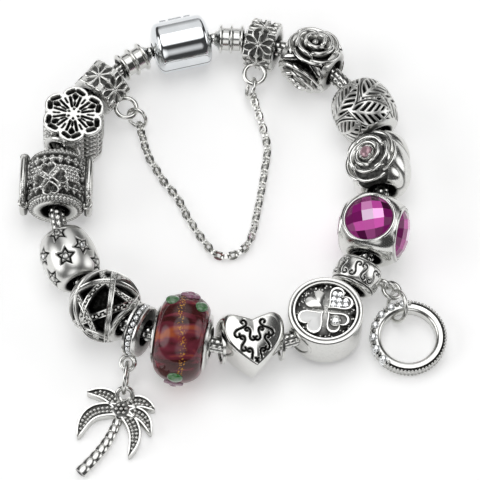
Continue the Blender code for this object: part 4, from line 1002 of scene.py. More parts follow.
def make_cap(name, end):
    """A sleeve of three rounded ridges between light waists, and a neck that runs to the clasp's ball."""
    half = ROWS[name].length / 2
    x = np.linspace(-half, 0.62 * half, 110)
    ridges = -half + 0.42 + 1.42 * half * np.arange(3) / 2
    ridge = np.max([np.exp(-(((x - middle) / 0.3) ** 4)) for middle in ridges], axis=0)
    radius = CAP_RADIUS - 0.6 + 0.6 * ridge
    along = np.concatenate([[-half], x, [0.8 * half, half, half, -half + 0.5]])
    across = np.concatenate([[1.8], radius, [1.5, 1.2, 0.5, 0.5]])
    dark = np.concatenate([[1.0], 0.12 * (1 - ridge), [0.2, 0.1, 0.5, 1.0]])
    ridged = around_x(np.column_stack([along, across, dark]), 64)
    ridged = ridged.moved(turn(0 if end > 0 else 180, "Z"))
    into = station_frame(name).inverted() @ station_frame("clasp")
    mouth = -end * ROWS["clasp"].length / 2
    seat = -end * (ROWS["clasp"].length / 2 - CLASP_END_WALL - 0.3 - BALL_RADIUS)
    centre = np.array(into @ Vector((seat * MM, 0, 0))) / MM
    door = np.array(into @ Vector(((mouth - end * 0.1) * MM, 0, 0))) / MM
    start = np.array((end * (half - 0.6), 0, 0))
    neck = wire([start, door, centre], 0.8, 20, 6)
    ring = balls([start + (door - start) * 0.55], 1.05, 10, 20)
    shapes = [ridged, neck, ring, balls([centre], BALL_RADIUS, 12, 20)]
    build_bead(name.replace("cap", "ridged_cap"), name, shapes, RUBBED, 40)


def make_snake_chain():
    """A round tube whose radius carries rows of scales: |sine| along the chain, shifted half a scale
    from each of eight columns to the next, and |cosine| across a column.
    """
    start = STARTS["cap_left"] + (ROWS["cap_left"].length - CAP_DEPTH) * MM
    end = STARTS["cap_right"] + CAP_DEPTH * MM
    pitch = size_in_mm("snake_pitch")
    distance = np.arange(start / MM, end / MM, pitch / 6)
    wrapped = (distance * MM) % DISTANCES[-1]
    path = np.stack([np.interp(wrapped, DISTANCES, POINTS[:, k]) for k in range(3)], -1)
    path = (path + np.array(OFFSET)) / MM
    around = TAU * np.arange(32) / 32
    column = np.floor(around / TAU * 8 + 0.5)
    across = np.abs(np.cos(around * 4)) ** 0.4
    scale = np.abs(np.sin(PI * (distance[:, None] / pitch + 0.5 * column))) ** 0.5 * across
    depth = size_in_mm("snake_relief")
    radius = CHAIN_RADIUS - depth + depth * scale
    _, side, rise = path_frames(path, (0, 0, 1))
    ring = side[:, None] * np.cos(around)[:, None] + rise[:, None] * np.sin(around)[:, None]
    chain = skin(path[:, None] + ring * radius[..., None], tarnish=np.clip(1 - 1.6 * scale, 0, 1) ** 1.5)
    build("woven_snake_chain", [chain], RUBBED, ["snake_chain"], crease=ALL_SMOOTH)


def link(length, wire_radius, width, count=16, sides=6):
    """A chain link in the XY plane: a round wire round a long oval, the curve of a stadium."""
    a = TAU * np.arange(count) / count
    straight = (length - width) / 2
    x = (width / 2 - wire_radius) * np.cos(a) + straight * np.tanh(3 * np.cos(a))
    path = np.stack([x, (width / 2 - wire_radius) * np.sin(a), 0 * a], -1)
    return sweep(path, disc(wire_radius, sides), closed=True)


def safety_route(first, last):
    """The fine chain's route, in mm: the listed points, dropping from each jump ring to the surface."""
    rows = [(x + OFFSET.x / MM, y + OFFSET.y / MM) for x, y in CHAIN_ROUTE]
    flat = smooth_path(np.array([first[:2], *rows, last[:2]]), 12)
    near = np.minimum(np.linalg.norm(flat - flat[0], axis=1), np.linalg.norm(flat - flat[-1], axis=1))
    floor = SAFETY_RADIUS + LIFT
    lift = (first[2] - floor) * np.clip(1 - near / CHAIN_DROP, 0, 1) ** 2
    return np.column_stack([flat, floor + lift])


def make_safety_chain(first, last):
    """Oval links on the route, each turned a quarter from the one before and leaned as curb links are."""
    route = safety_route(first, last)
    lengths = np.concatenate([[0], np.cumsum(np.linalg.norm(np.diff(route, axis=0), axis=1))])
    length, radius = size_in_mm("link_length"), size_in_mm("link_wire")
    step = length - 2 * radius - 0.28
    count = int(round((lengths[-1] + 0.2) / step))
    step = lengths[-1] / count
    shapes = []
    for i in range(count + 1):
        stops = np.array([step * i - 0.5, step * i + 0.5])
        near, far = (Vector(row) for row in np.stack([np.interp(stops, lengths, r) for r in route.T], -1))
        place = upright((near + far) / 2 * MM, far - near) @ turn(48 if i % 2 else -42, "X")
        shapes.append(link(length, radius, 1.85).moved(place))
    build("safety_chain_links", shapes, RUBBED, ["safety_chain"])


# Stoppers


def stopper_surface(name):
    """A six-sided sleeve: radius a / cos(angle from the nearest face), with a daisy sunk in each face."""
    half = ROWS[name].length / 2
    depth = size_in_mm("petal_depth")
    face = STOPPER_RADIUS * 0.97
    count = 330
    a = TAU * np.arange(count)[:, None] / count
    from_face = (np.degrees(a) + 60) % 60 - 30
    lean = np.radians(from_face)
    inside = np.linspace(-half, half, 66)
    rim = 0.28 * np.clip((np.abs(inside) - half + 0.3) / 0.3, 0, 1) ** 2
    along = np.concatenate([inside[::-1], [-half, -half + 0.7, half - 0.7, half]])
    flat = face / np.cos(lean)
    outer = flat * 0.985 + 0 * inside - 0.03 * from_face**2 / 900 + 0.1 * np.abs(inside / half) ** 3 - rim
    across = face * np.tan(lean)
    deep = np.zeros_like(outer)
    raised = np.zeros_like(outer)
    for petal_number in range(8):
        way = PI * (petal_number + 0.5) / 4
        field = drop_field(inside + 0 * a, across + 0 * inside, 0.5, 2.75, 0.88, way)
        deep = np.maximum(deep, soft_step(field, 0.09))
        raised = np.maximum(raised, soft_step(np.abs(field - 0.14) - 0.1, 0.07))
    outer = outer - depth * deep + 0.4 * depth * raised * (1 - deep)
    edge = soft_step(np.abs(inside) - half + 0.42, 0.05) * (1 - soft_step(np.abs(inside) - half + 0.3, 0.05))
    outer = outer - 0.15 * edge
    lines = np.maximum(0.85 * deep, 0.8 * edge + 0 * a)
    bore = np.array([BORE + 0.1, BORE, BORE, BORE + 0.1]) + 0 * a
    radius = np.concatenate([outer[:, ::-1], bore], axis=1)
    points = np.stack([along + 0 * a, -radius * np.sin(a), radius * np.cos(a)], -1)
    dark = np.concatenate([lines[:, ::-1], np.array([0.6, 1, 1, 0.6]) + 0 * a], axis=1)
    return skin(points, True, tarnish=dark)


def loop_fall(name):
    """How far a stopper's loop falls from its own Y axis, so that it hangs the same in the world."""
    return STOPPER_DROP + ROWS[name].roll


def make_stopper(name, ring_name):
    """The stopper, its fixed loop and the jump ring in it. It returns the jump ring's centre in metres."""
    place = station_frame(name)
    reach = STOPPER_RADIUS + LOOP_MAJOR - 0.25
    loop = hoop(LOOP_MAJOR, LOOP_WIRE, 48).moved(turn(-loop_fall(name), "X") @ shift(y=reach))
    side = name.split("_")[1]
    build_bead(f"daisy_stopper_{side}", name, [stopper_surface(name), loop], RUBBED)
    inward = (place @ turn(-loop_fall(name), "X")).to_3x3() @ Vector((0, 1, 0))
    ahead = Vector((inward.x, inward.y, -0.35)).normalized()
    hang = LOOP_MAJOR + JUMP_MAJOR - LOOP_WIRE - JUMP_WIRE - RING_SLACK
    centre = place.translation + (inward * reach + ahead * hang) * MM
    ring = hoop(JUMP_MAJOR, JUMP_WIRE, 48).moved(upright(centre, ahead) @ turn(65, "X"))
    build(f"jump_ring_{side}", [ring], RUBBED, [ring_name], crease=ALL_SMOOTH)
    return centre


def chain_end(centre, towards):
    """Where the safety chain ends, outside a jump ring, in mm."""
    point = Vector((*towards, 0)) * MM + OFFSET
    flat = Vector((point.x - centre.x, point.y - centre.y, 0)).normalized()
    return np.array(centre / MM + flat * (JUMP_MAJOR - 0.3))


def make_stoppers_and_safety_chain():
    left = make_stopper("stopper_left", "ring_left")
    right = make_stopper("stopper_right", "ring_right")
    make_safety_chain(chain_end(left, CHAIN_ROUTE[0]), chain_end(right, CHAIN_ROUTE[-1]))


# Charms on the left side


def flower_reach(a):
    """The flower's outline: six round petals between valleys, radius by |sine| of three times the angle."""
    return FLOWER_RADIUS * (0.79 + 0.21 * np.abs(np.sin(3 * a)) ** 0.62)


def polar(radius, angle):
    return radius * math.cos(angle), radius * math.sin(angle)


def flower_pattern(x, y):
    """How far inside a slot each point of the flower's face is: slots, inner drops and outer kidneys."""
    open_ = np.full_like(x, FAR)
    for petal in range(6):
        axis = math.radians(30 + 60 * petal)
        open_ = np.minimum(open_, drop_field(x, y, 2.7, 4.35, 1.05, axis))
        open_ = np.minimum(open_, line_field(x, y, polar(1.75, axis), polar(2.45, axis), 0.3))
        for side in (-1, 1):
            ray = axis + side * math.radians(15)
            open_ = np.minimum(open_, line_field(x, y, polar(1.6, ray), polar(3.55, ray), 0.42))
            kidney = (polar(4.82, axis + side * 0.09), polar(4.42, axis + side * 0.3))
            open_ = np.minimum(open_, line_field(x, y, *kidney, 0.78))
        valley = axis + math.radians(30)
        open_ = np.minimum(open_, line_field(x, y, polar(2.6, valley), polar(3.5, valley), 0.3))
        dot = polar(1.0, axis)
        open_ = np.minimum(open_, np.hypot(x - dot[0], y - dot[1]) - 0.2)
    return open_


def flower_shape():
    """A cushion in layers: circles scaled from the middle of the back, up the wall and in to the
    middle of the face, pushed down by the pattern.
    """
    depth = size_in_mm("slot_depth")
    half = FLOWER_DEPTH / 2
    face = np.linspace(0.97, 0.03, 64)
    wall = np.linspace(-1, 1, 52)
    scale = np.concatenate([face[::-1], [0.99], 1 - 0.015 * wall**2, [0.99], face])
    wall_z = (half - 0.25) * wall
    z = np.concatenate([np.full(64, -half), [-half + 0.08], wall_z, [half - 0.08], np.full(64, half)])
    a = TAU * np.arange(360) / 360
    reach = flower_reach(a)
    x, y = scale[:, None] * reach * np.cos(a), scale[:, None] * reach * np.sin(a)
    height = z[:, None] + 0 * x
    sunk = soft_step(flower_pattern(x, y), 0.07)
    on_face = np.zeros(len(z))
    on_face[:64] = 1
    on_face[-64:] = 1
    sunk = sunk * on_face[:, None]
    height -= np.sign(z)[:, None] * depth * sunk
    arc = a * 5.0
    row = np.abs(z[:, None]) / half
    lattice = np.abs(np.sin(arc * 1.2 + 2.2 * z[:, None])) * np.abs(np.sin(arc * 1.2 - 2.2 * z[:, None]))
    pierced = soft_step(0.3 - lattice, 0.12) * (row < 0.86) * (1 - on_face)[:, None]
    x, y = x * (1 - 0.13 * pierced), y * (1 - 0.13 * pierced)
    bore = soft_step(np.hypot(y, height) - 2.5, 0.2) * (np.abs(x) > 3) * (1 - on_face)[:, None]
    x = x * (1 - 0.35 * bore)
    dark = np.maximum(np.maximum(sunk, pierced), bore)
    return skin(np.stack([x, y, height], -1), tarnish=dark).moved(turn(FLOWER_SPIN, "Z"))


def make_flower_bead():
    """The flower, with a rim round each mouth of its bore."""
    half = ROWS["flower_bead"].length / 2
    rim = [(half - 0.9, 2.5, 0.1), (half, 2.6, 0.1), (half, 3.3, 0.1), (half - 1.2, 3.6, 0.1)]
    build_bead("openwork_flower", "flower_bead", [flower_shape(), *end_rings(rim, 48)], OXIDISED)


def globe_relief():
    """The globe's shell: crosses of four sunk hearts, grains between them, and slots in rows lower down."""
    points, normals = bead_surface(10.4, GLOBE_RADIUS, 3.5, 360, 130, 2.6)
    shape = points.shape[:2]
    around, along = seen_at("globe_bead", -1.1, 1.3, GLOBE_RADIUS)
    field = np.full(shape, FAR)
    plain = np.full(shape, FAR)
    for quarter_turn in (0, 90, 180, 270):
        x, y, z = local(points, around + quarter_turn, along if quarter_turn == 0 else 0, 8)
        near = z > 0
        for c, s in ((0, 1), (1, 0), (0, -1), (-1, 0)):
            u, v = x * c + y * s, -x * s + y * c
            heart = np.where(near, heart_field(u, v - 1.75, 2.3), FAR)
            field = np.minimum(field, heart)
            plain = np.minimum(plain, np.abs(heart - 0.16) - 0.17)
        plain = np.minimum(plain, np.where(near, np.hypot(x, y) - 0.38, FAR))
    arc = np.arctan2(points[..., 1], points[..., 2]) * 5.0
    across = points[..., 0]
    free = plain > 0.1
    pitch = TAU * 5.0 / GLOBE_SLOTS
    from_slot = (arc / pitch - np.round(arc / pitch)) * pitch
    for row_x, flip in ((-3.5, 1), (3.5, -1), (2.1, 1), (-2.1, -1)):
        rise = (across - row_x) * flip
        wedge = np.maximum(np.abs(from_slot) - 0.42 * (0.62 - rise) / 0.62, np.abs(rise) - 0.5)
        field = np.where(free, np.minimum(field, wedge), field)
    straps = np.abs(np.abs(across) - 2.8) - 0.13
    plain = np.where(free, np.minimum(plain, straps), plain)
    outer = np.ones(shape[1])
    outer[:6] = 0
    outer[-10:] = 0
    sunk = soft_step(field, 0.08) * outer
    band = soft_step(plain, 0.07) * outer
    bead = grains(arc, across, 0.78) * (1 - soft_step(field - 0.1, 0.08)) * (1 - band) * outer
    floor = sunk * grains(arc, across, 0.5)
    height = 0.34 * bead + 0.34 * band - 1.0 * sunk + 0.25 * floor
    dark = np.maximum(sunk * (1 - 0.4 * floor), np.clip(1.15 - 1.2 * bead, 0, 1) * (1 - band) * outer * 0.65)
    dark[:, IN_BORE] = 1
    return relief(points, normals, height, dark)


def make_globe_bead():
    """The globe between two collars, and a scrolled frame over wires on each side of it."""
    rim = [(4.4, 2.6, 1), (5.2, 2.75, 0.5), (5.25, 3.7, 0), (4.6, 4.5, 0), (4.1, 4.4, 0.4)]
    shapes = [globe_relief(), *end_rings(rim, 48)]
    for side in (-1, 1):
        reach = side * SCROLL_REACH
        for run, thick in SCROLL_RUNS:
            path = [(x, reach, z) for x, z in run]
            shapes.append(wire(path, thick, 12, 6, (0, 1, 0), tarnish=0.15))
            inner = [(x, reach - side * 0.35, z * 0.97) for x, z in run]
            shapes.append(wire(inner, 0.8 * thick, 10, 6, (0, 1, 0), tarnish=0.8))
        studs = [(x, reach, 3.45 - 0.05 * x * x) for x in np.linspace(-3.6, 3.6, 7)]
        shapes.append(balls(studs, 0.48, 6, 10, tarnish=0.05))
        for z in (-2.6, 2.9):
            shapes.append(wire([(0, side * 3.4, z * 0.9), (0, reach, z)], 0.5, 8, tarnish=0.5))
        curl = [hoop(0.72, 0.3, 28, 8, tarnish=0.05), balls([(0, 0, 0.1)], 0.4, 8, 12, tarnish=0.3)]
        for x in (-4.55, 4.55):
            shapes += moved(curl, shift(x, reach - side * 0.1, 1.6) @ turn(side * 25, "X"))
    build_bead("openwork_globe", "globe_bead", shapes, RUBBED)


def make_star_ball():
    """A polished ball with raised stars inside cut outlines, a small round stone in each."""
    points, normals = bead_surface(10.2, STAR_RADIUS, SLEEVE, 330, 110)
    depth = size_in_mm("star_depth")
    height = np.zeros(points.shape[:2])
    dark = np.zeros(points.shape[:2])
    stones = []
    places = [seen_at("star_ball", x, y, STAR_RADIUS) for x, y in STARS_IN_VIEW]
    for k, (around, along) in enumerate([*places, *STARS_BEHIND]):
        x, y, z = local(points, around, along, 20 * k)
        field = np.where(z > 0, star_field(x, y, 1.5, 0.52), FAR)
        groove = soft_step(np.abs(field - 0.04) - 0.17, 0.07)
        ring = soft_step(np.where(z > 0, np.abs(np.hypot(x, y) - 0.56) - 0.09, FAR), 0.06)
        height += -depth * np.maximum(groove, ring) + 0.08 * soft_step(field + 0.25, 0.1)
        dark = np.maximum(dark, np.maximum(groove, ring))
        flat = math.cos(math.radians(along))
        reach = STAR_RADIUS * flat + 5.05 * (1 - flat)
        stone = gems([(0, 0, reach)], (0, 0, 1), 0.46, finish=1)
        stones.append(stone.moved(turn(around, "X") @ turn(along, "Y")))
    dark[:, IN_BORE] = 1
    shapes = [relief(points, normals, height, dark), *stones]
    build_bead("starred_ball", "star_ball", shapes, ["satin_silver", "clear_zirconia"])


def strand(facing, offset, width, grained):
    """A band round the ball, with two rounded edges and a groove, or a row of grains.

    Its middle is a small circle of the sphere: p = offset n + sqrt(R^2 - offset^2) (u cos t + v sin t).
    Where it nears the bore it follows the collar.
    """
    n = unit(np.array(facing))
    u = unit(np.cross(n, (0.3, 0.5, 0.8)))
    v = np.cross(n, u)

    def small_circle(count):
        t = TAU * np.arange(count)[:, None] / count
        return unit(offset * n + math.sqrt(STRAND_RADIUS**2 - offset**2) * (u * np.cos(t) + v * np.sin(t)))

    count = 150
    circle = small_circle(count)
    across = np.cross(unit(np.roll(circle, -1, 0) - np.roll(circle, 1, 0)), circle)
    step = np.array([-1, -1, -0.8, -0.55, -0.3, 0.3, 0.55, 0.8, 1, 1]) * width / 2
    middle = -0.32 if grained else -0.12
    lift = np.array([-0.75, -0.15, 0.12, 0.1, middle, middle, 0.1, 0.12, -0.15, -0.75])
    lean = step[:, None] / STRAND_RADIUS
    ways = clear_of_bore(circle[:, None] * np.cos(lean) + across[:, None] * np.sin(lean))
    sections = ways * (STRAND_RADIUS + lift + (0 if grained else 0.16))[:, None]
    shade = 0.95 if grained else 0.3
    dark = np.array([1, 0.6, 0, 0, shade, shade, 0, 0, 0.6, 1])
    shapes = [skin(sections[:, ::-1], True, tarnish=dark)]
    if grained:
        k = np.arange(STRAND_GRAINS)
        zigzag = across[(k * count) // STRAND_GRAINS] * 0.14 * (-1) ** k[:, None]
        spots = clear_of_bore(unit(small_circle(STRAND_GRAINS) * STRAND_RADIUS + zigzag))
        shapes.append(balls(spots * (STRAND_RADIUS - 0.08), 0.27, 5, 8))
    return shapes


def clear_of_bore(ways):
    """Directions kept at least STRAND_CLEAR degrees from the X axis."""
    flat = np.hypot(ways[..., 1], ways[..., 2])
    wide = np.maximum(flat, math.sin(math.radians(STRAND_CLEAR)))
    along = np.sign(ways[..., 0]) * np.sqrt(np.clip(1 - wide**2, 0, 1))
    return np.stack([along, ways[..., 1] * wide / flat, ways[..., 2] * wide / flat], -1)


def make_strand_ball():
    """An openwork ball: bands round a sphere over deep black gaps, a black core that is partly oxide and
    partly painted shade for the hollow inside, and a collar at each end.
    """
    inward = station_frame("strand_ball").to_3x3().inverted()
    right, up, near = (np.array(inward @ way) for way in (Vector((1, 0, 0)), SCREEN_UP, TO_CAMERA))
    shapes = []
    for (a, b, c), offset, width, kind in STRANDS:
        shapes += strand(a * right + b * up + c * near, offset, width, kind == "grains")
    # The core is black all over: oxide, and painted shade that stands for the dark hollow inside the openwork
    core = [(-4.4, 3.6, 1), (-2.5, 4.5, 1), (0, 4.9, 1), (2.5, 4.5, 1), (4.4, 3.6, 1)]
    core += [(5.1, 2.2, 1), (5.1, BORE, 1), (-5.1, BORE, 1), (-5.1, 2.2, 1)]
    shapes.append(around_x(core, 60))
    rim = [(4.7, 2.4, 1), (5.35, 2.5, 0.6), (5.5, 3.0, 0), (5.45, 3.6, 0), (5.1, 4.0, 0.3), (4.7, 4.0, 1)]
    shapes += end_rings(rim, 60)
    build_bead("crossed_strands", "strand_ball", shapes, RUBBED, 50)


# Spacer, palm and glass


def aimed(centre, ahead, spin):
    """A frame at centre with X towards ahead, then turned by spin about that X."""
    return upright(centre, ahead) @ turn(spin, "X")


def make_spacer_and_ring():
    """The spacer, its row of stones, its loop and the jump ring. It returns where the palm's loop hangs."""
    count = bpy.context.scene.bracelet_sizes.spacer_stones
    r = SPACER_RADIUS
    rows = [(-1.3, 2.6, 0.6), (-1.3, 4.4, 0.1), (-1.15, r, 0), (-0.85, r, 0), (-0.72, 4.72, 0.3)]
    rows += [(-0.66, 4.15, 1), (0.5, 4.15, 1), (0.56, 4.72, 0.3), (0.68, r, 0), (0.98, r, 0)]
    rows += [(1.3, 4.5, 0.1), (1.3, 2.6, 0.6), (1.1, 2.4, 1), (-1.1, 2.4, 1)]
    ring = around_x(rows, 120)
    a = TAU * np.arange(count) / count
    out = np.stack([0 * a, -np.sin(a), np.cos(a)], -1)
    stones = gems(out * 4.52 + (-0.08, 0, 0), out, 0.52, 8, 0.5, finish=1)
    b = a + PI / count
    between = np.stack([0 * b, -np.sin(b), np.cos(b)], -1)
    claws = [balls(between * 4.55 + (x, 0, 0), 0.17, 5, 8) for x in (-0.45, 0.29)]
    hang = turn(SPACER_LOOP_ANGLE, "X") @ shift(z=HANG_REACH)
    loop = hoop(SMALL_LOOP_MAJOR, LOOP_WIRE, 48).moved(hang @ turn(90, "X"))
    build_bead("stone_row_spacer", "pave_spacer", [ring, stones, *claws, loop], SET_SILVER, 40)
    ahead = Vector((-0.12, -0.93, -0.35)).normalized()
    centre = (station_frame("pave_spacer") @ hang).translation + ahead * (PALM_RING_MAJOR - 0.1) * MM
    jump = hoop(PALM_RING_MAJOR, RING_WIRE, 56).moved(aimed(centre, ahead, 0) @ turn(90, "X"))
    build("palm_jump_ring", [jump], RUBBED, ["palm_ring"], crease=ALL_SMOOTH)
    return centre + ahead * (PALM_RING_MAJOR - RING_WIRE - LOOP_WIRE - RING_SLACK) * MM


def leaf(tip_x, tip_y, bow, width):
    """One leaf of the palm: a plate with a raised rim round a sunk, black floor, set with small stones."""
    tip = np.array((tip_x, tip_y))
    t = np.linspace(0.02, 1, 30)
    side = unit(np.array((-tip_y, tip_x)))
    middle = tip * t[:, None] + side * (bow * np.sin(PI * t))[:, None]
    ahead = unit(np.gradient(middle, axis=0))
    across = np.stack([-ahead[:, 1], ahead[:, 0]], -1)
    half = width / 2 * np.clip(np.sin(PI * np.clip(0.2 + 0.8 * t, 0, 1)) ** 0.5, 0.1, 1)
    rim = np.minimum(0.36, half * 0.6)
    floor = PALM_THICKNESS - 0.55
    top = PALM_THICKNESS
    reach = [half, half, half - 0.1, half - rim, half - rim - 0.05]
    z = [0, top - 0.15, top, top, floor]
    sections = []
    for w, level in [*zip(reach, z), *zip([-w for w in reach[::-1]], z[::-1])]:
        flat = middle + across * w[:, None] if isinstance(w, np.ndarray) else middle
        sections.append(np.column_stack([flat, np.full(len(t), level)]))
    sections = np.stack(sections, 1)[:, ::-1]
    dark = np.array([0.2, 0.05, 0, 0.1, 0.8, 0.8, 0.1, 0, 0.05, 0.2])
    plate = skin(sections[:, ::-1], tarnish=dark)
    step = 0.74
    long = np.sum(np.linalg.norm(np.diff(middle, axis=0), axis=1))
    spots = []
    for k in range(1, int(long / step)):
        place = k * step / long
        m = np.array([np.interp(place, t, middle[:, n]) for n in range(2)])
        c = np.array([np.interp(place, t, across[:, n]) for n in range(2)])
        room = np.interp(place, t, half) - 0.45
        offsets = (-0.37, 0.37) if room > 0.55 else (0.0,) if room > 0.1 else ()
        spots += [(*(m + c * w), floor + 0.12) for w in offsets]
    return plate, spots


def make_palm(held):
    """A palm tree with five leaves, a trunk of barrels and a bail, lying on the surface."""
    bail = shift(BAIL_X, BAIL_FOOT) @ turn(BAIL_LEAN, "X") @ shift(y=BAIL_MAJOR)
    top = bail @ Vector((0, BAIL_MAJOR * MM, 0))
    crown = Matrix.Translation((held.x - top.x, held.y - top.y, LIFT * MM))
    shapes = []
    spots = []
    for row in PALM_LEAVES:
        plate, found = leaf(*row)
        shapes.append(plate)
        spots += found
    shapes.append(balls(spots, 0.37, 6, 10))
    t = np.linspace(0, 1, 142)
    foot, root = np.array((-7.2, -12.0)), np.array((-0.5, -1.6))
    middle = root + (foot - root) * t[:, None]
    middle[:, 0] += 0.9 * np.sin(PI * t)
    path = np.column_stack([middle, np.full(len(t), 0.86)])
    ridge = np.abs(np.sin(8 * PI * t)) ** 0.35
    size = 0.62 + 0.26 * ridge + 0.33 * t
    size[[0, -1]] = 0.2
    shapes.append(sweep(path, disc(1, 24, 0.72), scale=size, tarnish=((1 - ridge) ** 2)[:, None]))
    high = PALM_THICKNESS
    hub = [(0.02, 0, 0), (1.6, 0, 0), (1.6, high - 0.1, 0), (1.3, high + 0.12, 0.8), (0.02, high + 0.12, 1)]
    shapes.append(around_z(hub, 32))
    studs = round_z(TAU * np.arange(6) / 6, 0.85, high + 0.2)
    shapes.append(balls([(0, 0, high + 0.2), *studs], 0.35, 6, 10))
    shapes.append(hoop(BAIL_MAJOR, LOOP_WIRE, 48).moved(shift(z=high / 2) @ bail))
    build("palm_tree", moved(shapes, crown), OXIDISED, ["palm_charm"], crease=35)


def make_palm_hang():
    make_palm(make_spacer_and_ring())


def dab(around, along, radius, size, **look):
    """A flattened drop on a barrel's side, at an angle round X and a distance along it."""
    out = turn(around, "X") @ shift(x=along, z=radius)
    return balls([(0, 0, 0)], size, 10, 20, 0.45, **look).moved(out)


def glass_radius(along):
    """The glass's radius at a distance along it: the swelling curve of its profile."""
    x = min(abs(along) / (GLASS_LENGTH / 2), 1)
    return CORE_RADIUS + (GLASS_RADIUS - CORE_RADIUS) * (1 - x**GLASS_POWER) ** (1 / GLASS_POWER)


def make_glass():
    """The glass with its dabs, on a silver sleeve. A line of gold runs round it on two waves of the angle."""
    points, normals = bead_surface(GLASS_LENGTH, GLASS_RADIUS, CORE_RADIUS, 240, 80, GLASS_POWER, 3.2)
    around = np.arctan2(-points[..., 1], points[..., 2])
    wave = points[..., 0] - 0.9 * np.sin(around + 0.6) - 0.5 * np.sin(3 * around)
    line = soft_step(np.abs(wave) - 0.55, 0.3)
    line[:, IN_BORE] = 0
    green, mauve = [], []
    for angle, x, size in GREEN_DABS:
        green.append(dab(angle, x, glass_radius(x) - 0.05, size))
    for angle, x in BLOSSOMS:
        for k in range(5):
            bend = math.radians(72 * k + 20)
            spot = x + 0.9 * math.cos(bend)
            lean = math.degrees(0.9 * math.sin(bend) / GLASS_RADIUS)
            mauve.append(dab(angle + lean, spot, glass_radius(spot) + 0.02, 0.95))
        mauve.append(dab(angle, x, glass_radius(x) + 0.3, 0.75))
    glass = [
        ("lampwork_glass_body", [relief(points, normals, 0 * line, line)], "lampwork_glass", ["glass_bead"]),
        ("glass_blossoms", mauve, "blossom_glass", ()),
        ("glass_leaves", green, "leaf_glass", ()),
    ]
    place = station_frame("glass_bead")
    for name, shapes, finish, replaced in glass:
        build(name, moved(shapes, place), [finish], replaced, crease=60)
    half = ROWS["glass_bead"].length / 2
    rows = [(4.4, 3.15, 0.3), (4.55, CORE_RADIUS, 0), (4.85, 4.9, 0.1), (4.95, 3.1, 0.3)]
    rows += [(half - 0.15, 3.0, 0), (half, 2.6, 0.4), (half - 0.3, BORE, 1)]
    build("glass_core_sleeve", moved([sleeve(rows, 96)], place), RUBBED, ["glass_core"])


# Charms on the right side


def flourish(x, y, size, lean, hand=1):
    """Points of an S-shaped scroll round (x, y): the heading grows with t squared from both sides of 0."""
    t = np.linspace(-1, 1, 40)
    heading = lean + hand * 5.2 * t * t
    path = np.cumsum(np.stack([np.cos(heading), np.sin(heading)], -1), axis=0)
    path -= path.mean(axis=0)
    return path * size / np.max(np.abs(path)) + (x, y)


def polyline_field(x, y, path, width):
    """Distance from a bent line, below 0 inside it: the least of its pieces."""
    found = np.full(np.broadcast(x, y).shape, FAR)
    for start, end in zip(path[:-1], path[1:]):
        found = np.minimum(found, line_field(x, y, tuple(start), tuple(end), width))
    return found


def make_heart_bead():
    """A puffed heart: its outline scaled by layers, s = 0.74 + 0.26 cos t and z = h sin t, with a domed face
    and engraved scrolls.
    """
    depth = size_in_mm("scroll_depth")
    x, y = heart_curve(HEART_WIDTH, 240).T
    cleft = np.exp(-((x / 2.4) ** 2)) * (y > 0)
    y = y + 0.55 * cleft * (np.max(y) - y)
    x = np.sign(x) * HEART_WIDTH / 2 * np.abs(2 * x / HEART_WIDTH) ** 0.55
    t = np.linspace(-PI / 2, PI / 2, 40)
    face = np.linspace(0.985, 0.02, 60)
    scale = np.concatenate([0.74 * face[::-1], 0.74 + 0.26 * np.cos(t) ** 0.75, 0.74 * face])
    half = HEART_DEPTH / 2
    dome = half * (1 + 0.1 * (1 - face**2))
    z = np.concatenate([-dome[::-1], half * np.sin(t), dome])
    x = scale[:, None] * x
    y = scale[:, None] * y
    height = z[:, None] + 0 * x
    top = np.abs(z) >= half * 0.999
    cut = np.full(x.shape, FAR)
    for scroll in HEART_SCROLLS:
        cut = np.minimum(cut, polyline_field(x, y, flourish(*scroll), 0.4))
    cut = soft_step(cut, 0.08) * top[:, None]
    height = height - np.sign(height) * depth * cut
    end = (np.abs(x) > HEART_FLAT) * soft_step(np.hypot(y, height) - BORE, 0.15)
    x = np.clip(x, -HEART_FLAT, HEART_FLAT) * (1 - 0.12 * end)
    body = skin(np.stack([x, y, height], -1), tarnish=np.maximum(cut, end))
    root, flat = HEART_FLAT - 0.5, HEART_FLAT - 0.02
    rim = [(root, 2.45, 0.15), (flat, 2.55, 0.15), (flat, 3.0, 0.15), (root, 3.1, 0.15)]
    build_bead("puffed_heart", "heart_bead", [body, *end_rings(rim, 40)], RUBBED, 28)


def raised_heart(width, low, high, rim=0.0, puff=0.35, **look):
    """A heart-shaped boss: sides up from low to high, then a domed face, sunk inside a rim if it has one."""
    outline = heart_curve(width, 72)
    if rim:
        inner = 1 - 2.6 * rim / width
        rows = [(1, low, 0.6), (1, high - 0.1, 0.1), (0.97, high, 0), (inner + 0.02, high, 0)]
        rows += [(inner, high - 0.35, 0.8), (0.02, high - 0.35, 0.6)]
    else:
        rows = [(1, low, 0.6), (1, high - 0.12, 0.1)]
        rows += [(k, high + puff * (1 - k * k), 0) for k in np.linspace(0.97, 0.02, 10)]
    sections = [np.column_stack([outline * k, np.full(len(outline), z)]) for k, z, _ in rows]
    return skin(np.array(sections), tarnish=np.array(rows)[:, 2:], **look)


def heart_place(kind):
    """Where one of the drum's hearts stands: half its width out from the middle, turned round the middle."""
    return turn(HEART_TURNS[kind], "Z") @ shift(y=0.2 + 0.5 * DRUM_HEARTS[kind])


